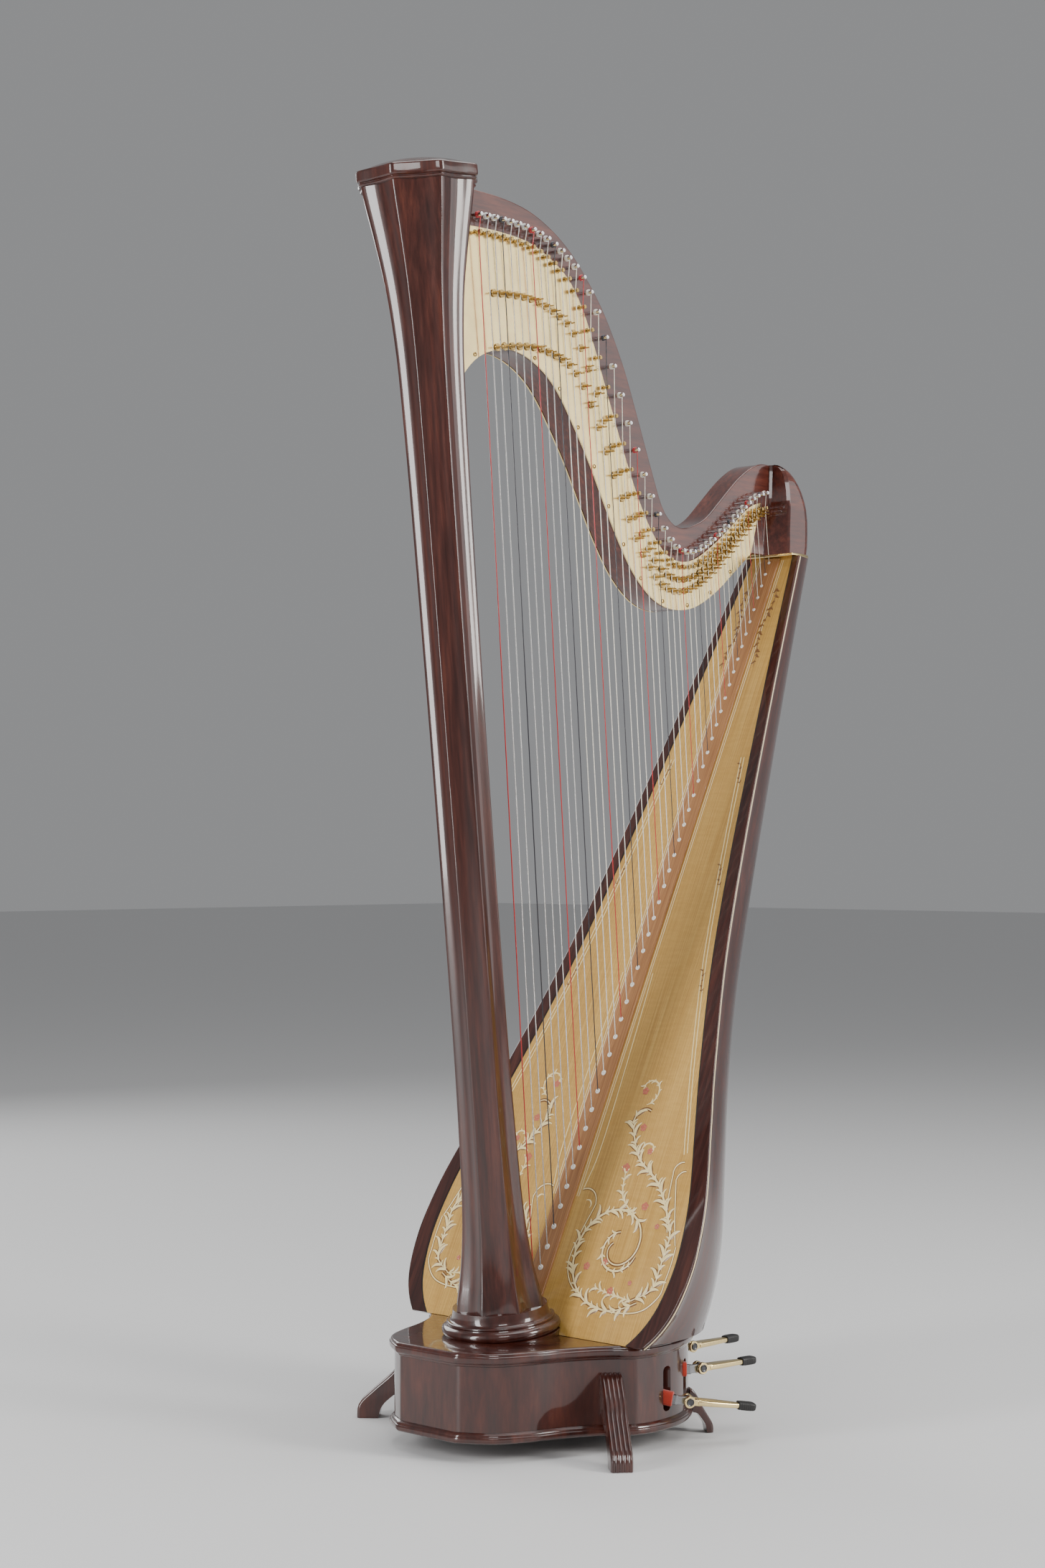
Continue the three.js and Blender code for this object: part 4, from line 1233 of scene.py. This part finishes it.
def build_base():
    top = [
        (WALL_TOP + 0.3, -1), (WALL_TOP + 0.3, 1.2), (136.2, 2.4), (137.6, 3), (138.4, 3.2), (139.6, 5.2),
        (141.4, 7), (143.6, 7.9), (147.5, 8), (149, 7.8), (149.8, 7), (150.2, 6.2), (151, 6), (152.6, 5.6),
        (154, 4.4), (BASE_TOP, 2.2), (BASE_TOP, 0),
    ]
    make("base_top_board", moulded(top), BASE_WOOD, sharp=40, replaces=["base_top"])
    wall = moulded([(WALL_LOW + 0.2, 0), (60, 0), (110, 0), (WALL_TOP, 0)])
    hollow = moulded([(WALL_LOW - 6, -14), (WALL_TOP + 6, -14)])
    wall = subtracted(wall, hollow)
    for pedal in PEDALS:
        wall = subtracted(wall, slot_box(pedal))
    make("base_wall", wall, BASE_WOOD, sharp=40, replaces=["base_body"])
    low = [
        (BASE_LOW, 0), (BASE_LOW, 3), (28.2, 5.2), (30, 6.8), (32.5, 7), (35, 6.9), (36.2, 6.2), (36.6, 5.2),
        (37.6, 5), (39.2, 4.4), (40.6, 3), (41.2, 1.4), (WALL_LOW, 0.6), (WALL_LOW, -1),
    ]
    lugs = []
    for pedal in PEDALS:
        for side in (-1, 1):
            middle = side * 5.6
            low_corner = (PIVOT_RADIUS - 8, middle - 1, WALL_LOW - 1)
            high_corner = (PIVOT_RADIUS + 8, middle + 1, PEDAL_HEIGHT + 8)
            lugs.append(moved(rounded(block(low_corner, high_corner), 0.6, 2), pedal_line(pedal)))
    make("base_bottom_board", moulded(low), BASE_WOOD, sharp=40, replaces=["base_floor"])
    make("pivot_lugs", joined(lugs), BASE_WOOD)


def foot_shape(reach, height, width, reeds):
    """Scrolled foot that spreads towards its toe, with reeds down its face."""
    crest = smooth([(0, 1), (0.14, 0.98), (0.35, 0.82), (0.58, 0.57), (0.82, 0.36), (1, 0.18), (1.02, 0)], 26)
    belly = smooth([(0, 0.48), (0.3, 0.45), (0.5, 0.33), (0.68, 0.17), (0.74, 0)], 26)
    rings = []
    across = 6 * reeds
    for top, under in zip(crest, belly):
        up = Vector((top.x * reach, 0, top.y * height))
        down = Vector((under.x * reach, 0, under.y * height))
        out = (up - down).normalized()
        ring = []
        for k in range(across + 1):
            share = k / across
            swell = 1.6 * abs(sin(pi * reeds * share)) - 1.6
            edge = -3.0 * max(0.0, abs(2 * share - 1) - 0.86) / 0.14
            place = up + out * (swell + edge)
            ring.append((place.x, (share - 0.5) * width, max(0.0, place.z)))
        ring += [(down.x, width * share, down.z) for share in (0.5, 0.42, -0.42, -0.5)]
        rings.append(ring)
    return loft(rings)


def build_feet():
    front = foot_shape(116, 116, 32, 5)
    rear = foot_shape(36, 66, 22, 3)
    feet = [
        ("front_left", -182, -180, -130, front), ("front_right", -182, 180, 130, front),
        ("rear_left", 4, -169, -35, rear), ("rear_right", 4, 169, 35, rear),
    ]
    wall = moulded([(-8, 0.2), (BASE_TOP + 4, 0.2)])
    ledge = moulded([(BASE_LOW - 0.3, 7.3), (WALL_LOW + 0.4, 7.3)])
    for name, x, y, turn, shape in feet:
        place = shift(x, y, 0) @ spin(turn)
        foot = subtracted(subtracted(moved(shape, place), wall), ledge)
        make(f"foot_{name}", foot, BASE_WOOD, sharp=48, replaces=[f"{name}_foot"])


# ---- Pedals ----


def elbow_reach(pedal):
    return PEDALS[pedal].wall + ELBOW_REACH - PIVOT_RADIUS


def arm_bend(pedal):
    return spin(PEDALS[pedal].arm - PEDALS[pedal].lever)


def eye_place(pedal):
    return arm_bend(pedal) @ Vector((EYE_REACH, 0, 0)) + Vector((elbow_reach(pedal), 0, 0))


def lever_frame(pedal):
    """Frame of a pivoting lever: it starts at the pivot and points to the elbow."""
    rest = asin(PEDAL_DROP / eye_place(pedal).x) if PEDALS[pedal].down else 0
    return WORLD @ pedal_line(pedal) @ shift(PIVOT_RADIUS, 0, PEDAL_HEIGHT) @ spin(degrees(rest), "Y")


def eye_frame(pedal):
    """Frame of the lever's eye, in the lever's own frame."""
    return shift(*eye_place(pedal)) @ arm_bend(pedal)


def lever_shape(pedal):
    bar = rounded(block((-9, -3.5, -7), (elbow_reach(pedal), 3.5, 7)), 1.2, 3)
    pin = revolve([(0.4, -4.3), (2.8, -4.3), (3, -4), (3, 4), (2.8, 4.3), (0.4, 4.3)], 20, axis="Y")
    elbow = revolve([(0.4, -7), (2.6, -7), (3.5, -6), (3.5, 6), (2.6, 7), (0.4, 7)], 20)
    elbow = moved(elbow, shift(elbow_reach(pedal), 0, 0))
    size = HUB_RADIUS - 1
    eye = revolve([(3.2, -3.5), (size - 0.6, -3.5), (size, -2.9), (size, 2.9), (size - 0.6, 3.5), (3.2, 3.5)],
                  28, axis="Y")
    tail = rounded(block((-EYE_REACH, -3.4, -6), (-3.4, 3.4, 6)), 1, 3)
    return joined([bar, pin, elbow, moved(joined([eye, tail]), eye_frame(pedal))])


def soft_power(value, power):
    """Power of a number's size that keeps its sign."""
    return copysign(abs(value) ** power, value)


def arm_section(x, half, thick):
    """Rounded cross-section of the folding pedal at one place along it."""
    return [
        (x, half * soft_power(cos(angle), 0.5), thick * soft_power(sin(angle), 0.6)) for angle in around(24)
    ]


def pedal_shape():
    """Tapered brass arm with its two cheeks either side of the lever's eye."""
    stations = [
        (12, 8.4, 3.6), (13, 9.8, 4.4), (18, 10.4, 4.7), (30, 10.4, 4.7), (44, 9.7, 4.5), (58, 8.6, 4.2),
        (70, 7.4, 4.0), (79, 6.3, 3.8), (86, 5.6, 3.6), (98, 5.2, 3.4),
    ]
    arm = loft([arm_section(x, half, thick) for x, half, thick in stations])
    pieces = [arm]
    for side in (-1, 1):
        hub = HUB_RADIUS
        cheek = revolve([(3, -2.5), (hub - 0.8, -2.5), (hub, -1.7), (hub, 1.7), (hub - 0.8, 2.5), (3, 2.5)],
                        32, axis="Y")
        web = rounded(block((1, -2.4, -4.4), (17, 2.4, 4.4)), 1, 3)
        pieces.append(moved(joined([cheek, web]), shift(y=side * 6.6)))
    return joined(pieces)


def bolt_shape():
    """Fold bolt: a dished head each side with a ring round it."""
    head = [(3, 8.9), (5.4, 8.9), (5.8, 9.2), (5.6, 10.2), (5.2, 10.4), (4.6, 9.8), (3.2, 9.2), (0.4, 9.2)]
    profile = [(radius, -height) for radius, height in reversed(head)] + head
    return revolve(profile, 28, axis="Y")


def cap_shape():
    """Ribbed rubber cap pulled over the tip of a pedal."""
    stations = [(78.5, 6.0, 4.4), (79, 7.4, 5.6), (80.5, 8.0, 6.0), (82, 7.6, 5.7)]
    for i in range(5):
        x = 83.5 + i * 3.2
        stations += [(x, 8.2, 6.1), (x + 1.2, 8.5, 6.3), (x + 2.2, 8.2, 6.1), (x + 2.7, 7.9, 5.9)]
    stations += [(101, 8.4, 6.1), (104, 7.6, 5.6), (106, 6.0, 4.6), (107.2, 3.6, 3.0), (107.6, 1.2, 1.0)]
    return loft([arm_section(x, half, thick) for x, half, thick in stations])


def sleeve_shape(pedal):
    """Felt wrapped round the lever where it passes through its slot."""
    wall = PEDALS[pedal].wall - PIVOT_RADIUS
    low, high = wall - 20, wall + 12
    rings = []
    swellings = [(low, -1.2), (low + 1.2, 0), (low + 9, 0.25), (low + 18, 0), (high - 1.2, 0.2), (high, -1.2)]
    for x, grow in swellings:
        ring = []
        for angle in around(28):
            reach = grow + 0.18 * sin(5 * angle + x)
            y = (FELT_HALF_WIDE + reach) * soft_power(cos(angle), 0.55)
            z = (FELT_HALF_TALL + reach) * soft_power(sin(angle), 0.55)
            ring.append((x, y, z))
        rings.append(ring)
    return loft(rings)


def build_pedals():
    for pedal in PEDALS:
        lever = lever_frame(pedal)
        foot = lever @ eye_frame(pedal)
        lever_body = f"pedal_lever_{pedal}"
        foot_body = f"pedal_{pedal}"
        make(f"lever_{pedal}", lever_shape(pedal), DARK_STEEL, lever, body=lever_body,
             replaces=[lever_body])
        make(f"felt_{pedal}", sleeve_shape(pedal), FELT, lever, body=lever_body, sharp=70)
        make(f"arm_{pedal}", pedal_shape(), PEDAL_BRASS, foot, body=foot_body, sharp=45,
             replaces=[foot_body])
        make(f"bolt_{pedal}", bolt_shape(), BOLT_STEEL, foot, body=foot_body, sharp=35)
        make(f"rubber_{pedal}", cap_shape(), RUBBER, foot, body=foot_body, sharp=60)


# ---- Pieces that keep the node's shape ----


def dress_kept_nodes():
    paints = {"inner_string_rib": STRIP_WOOD}
    for pedal in PEDALS:
        paints[f"pedal_rod_{pedal}"] = STEEL
    for node, paint in paints.items():
        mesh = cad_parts[node].data
        mesh.materials.clear()
        mesh.materials.append(paint)


# ---- Floor, light and camera ----


def build_stage():
    bpy.ops.mesh.primitive_plane_add(size=60, location=(0, 0, -FLOOR_DROP))
    floor = bpy.context.object
    floor.name = "studio_floor"
    paint = Paint("studio_floor_paint", (0.74, 0.74, 0.74), 0.6)
    floor.data.materials.append(paint.material)


def area_light(name, place, aim, size, power, color):
    data = bpy.data.lights.new(name, "AREA")
    data.shape = "RECTANGLE"
    data.size, data.size_y = size
    data.energy = power
    data.color = color
    lamp = bpy.data.objects.new(name, data)
    lamp.location = place
    lamp.rotation_euler = (Vector(aim) - Vector(place)).to_track_quat("-Z", "Y").to_euler()
    bpy.context.scene.collection.objects.link(lamp)


# Area lights: name, place, width and height, power and colour.
LIGHTS = [
    ("key_right", (1.4, -4.6, 2.4), (1.2, 2.6), 190, (1.0, 0.98, 0.95)),
    ("right_panel", (3.3, -3.3, 1.9), (3.0, 3.0), 42, (1, 1, 1)),
    ("strip_left", (-4.4, 0.9, 1.5), (0.9, 3.2), 150, (1, 1, 1)),
    ("front_soft", (-4.2, -4.2, 3.4), (2.0, 1.6), 80, (1, 1, 1)),
    ("top_soft", (0.4, -0.4, 4.2), (3.0, 3.0), 90, (1, 1, 1)),
    ("back_soft", (0.8, 4.6, 2.6), (2.4, 2.4), 70, (1, 1, 1)),
]


def build_lights():
    for name, place, size, power, color in LIGHTS:
        area_light(name, place, (0, 0, 0.95), size, power, color)
    world = bpy.data.worlds.new("studio_world")
    bpy.context.scene.world = world
    world.use_nodes = True
    sky = world.node_tree.nodes["Background"]
    sky.inputs["Color"].default_value = (0.93, 0.94, 0.96, 1)
    sky.inputs["Strength"].default_value = 0.3


CAMERA_PLACE = (-3.0385, -2.728, 0.862)
CAMERA_RISE = 1.507  # degrees above level
CAMERA_HEADING = -46.30  # degrees from +Y
CAMERA_LENS = 60.66


def build_camera():
    data = bpy.data.cameras.new("view")
    data.sensor_width = 36
    data.lens = CAMERA_LENS
    camera = bpy.data.objects.new("view", data)
    camera.location = CAMERA_PLACE
    camera.rotation_euler = (radians(90 + CAMERA_RISE), 0, radians(CAMERA_HEADING))
    bpy.context.scene.collection.objects.link(camera)
    bpy.context.scene.camera = camera


build_column()
build_cap()
build_collar()
build_soundboard()
build_string_strip()
build_shell()
build_ornament()
build_strings()
build_eyelets()
build_neck()
build_plates()
build_action()
build_shoulder()
build_base()
build_feet()
build_pedals()
dress_kept_nodes()
build_stage()
build_lights()
build_camera()
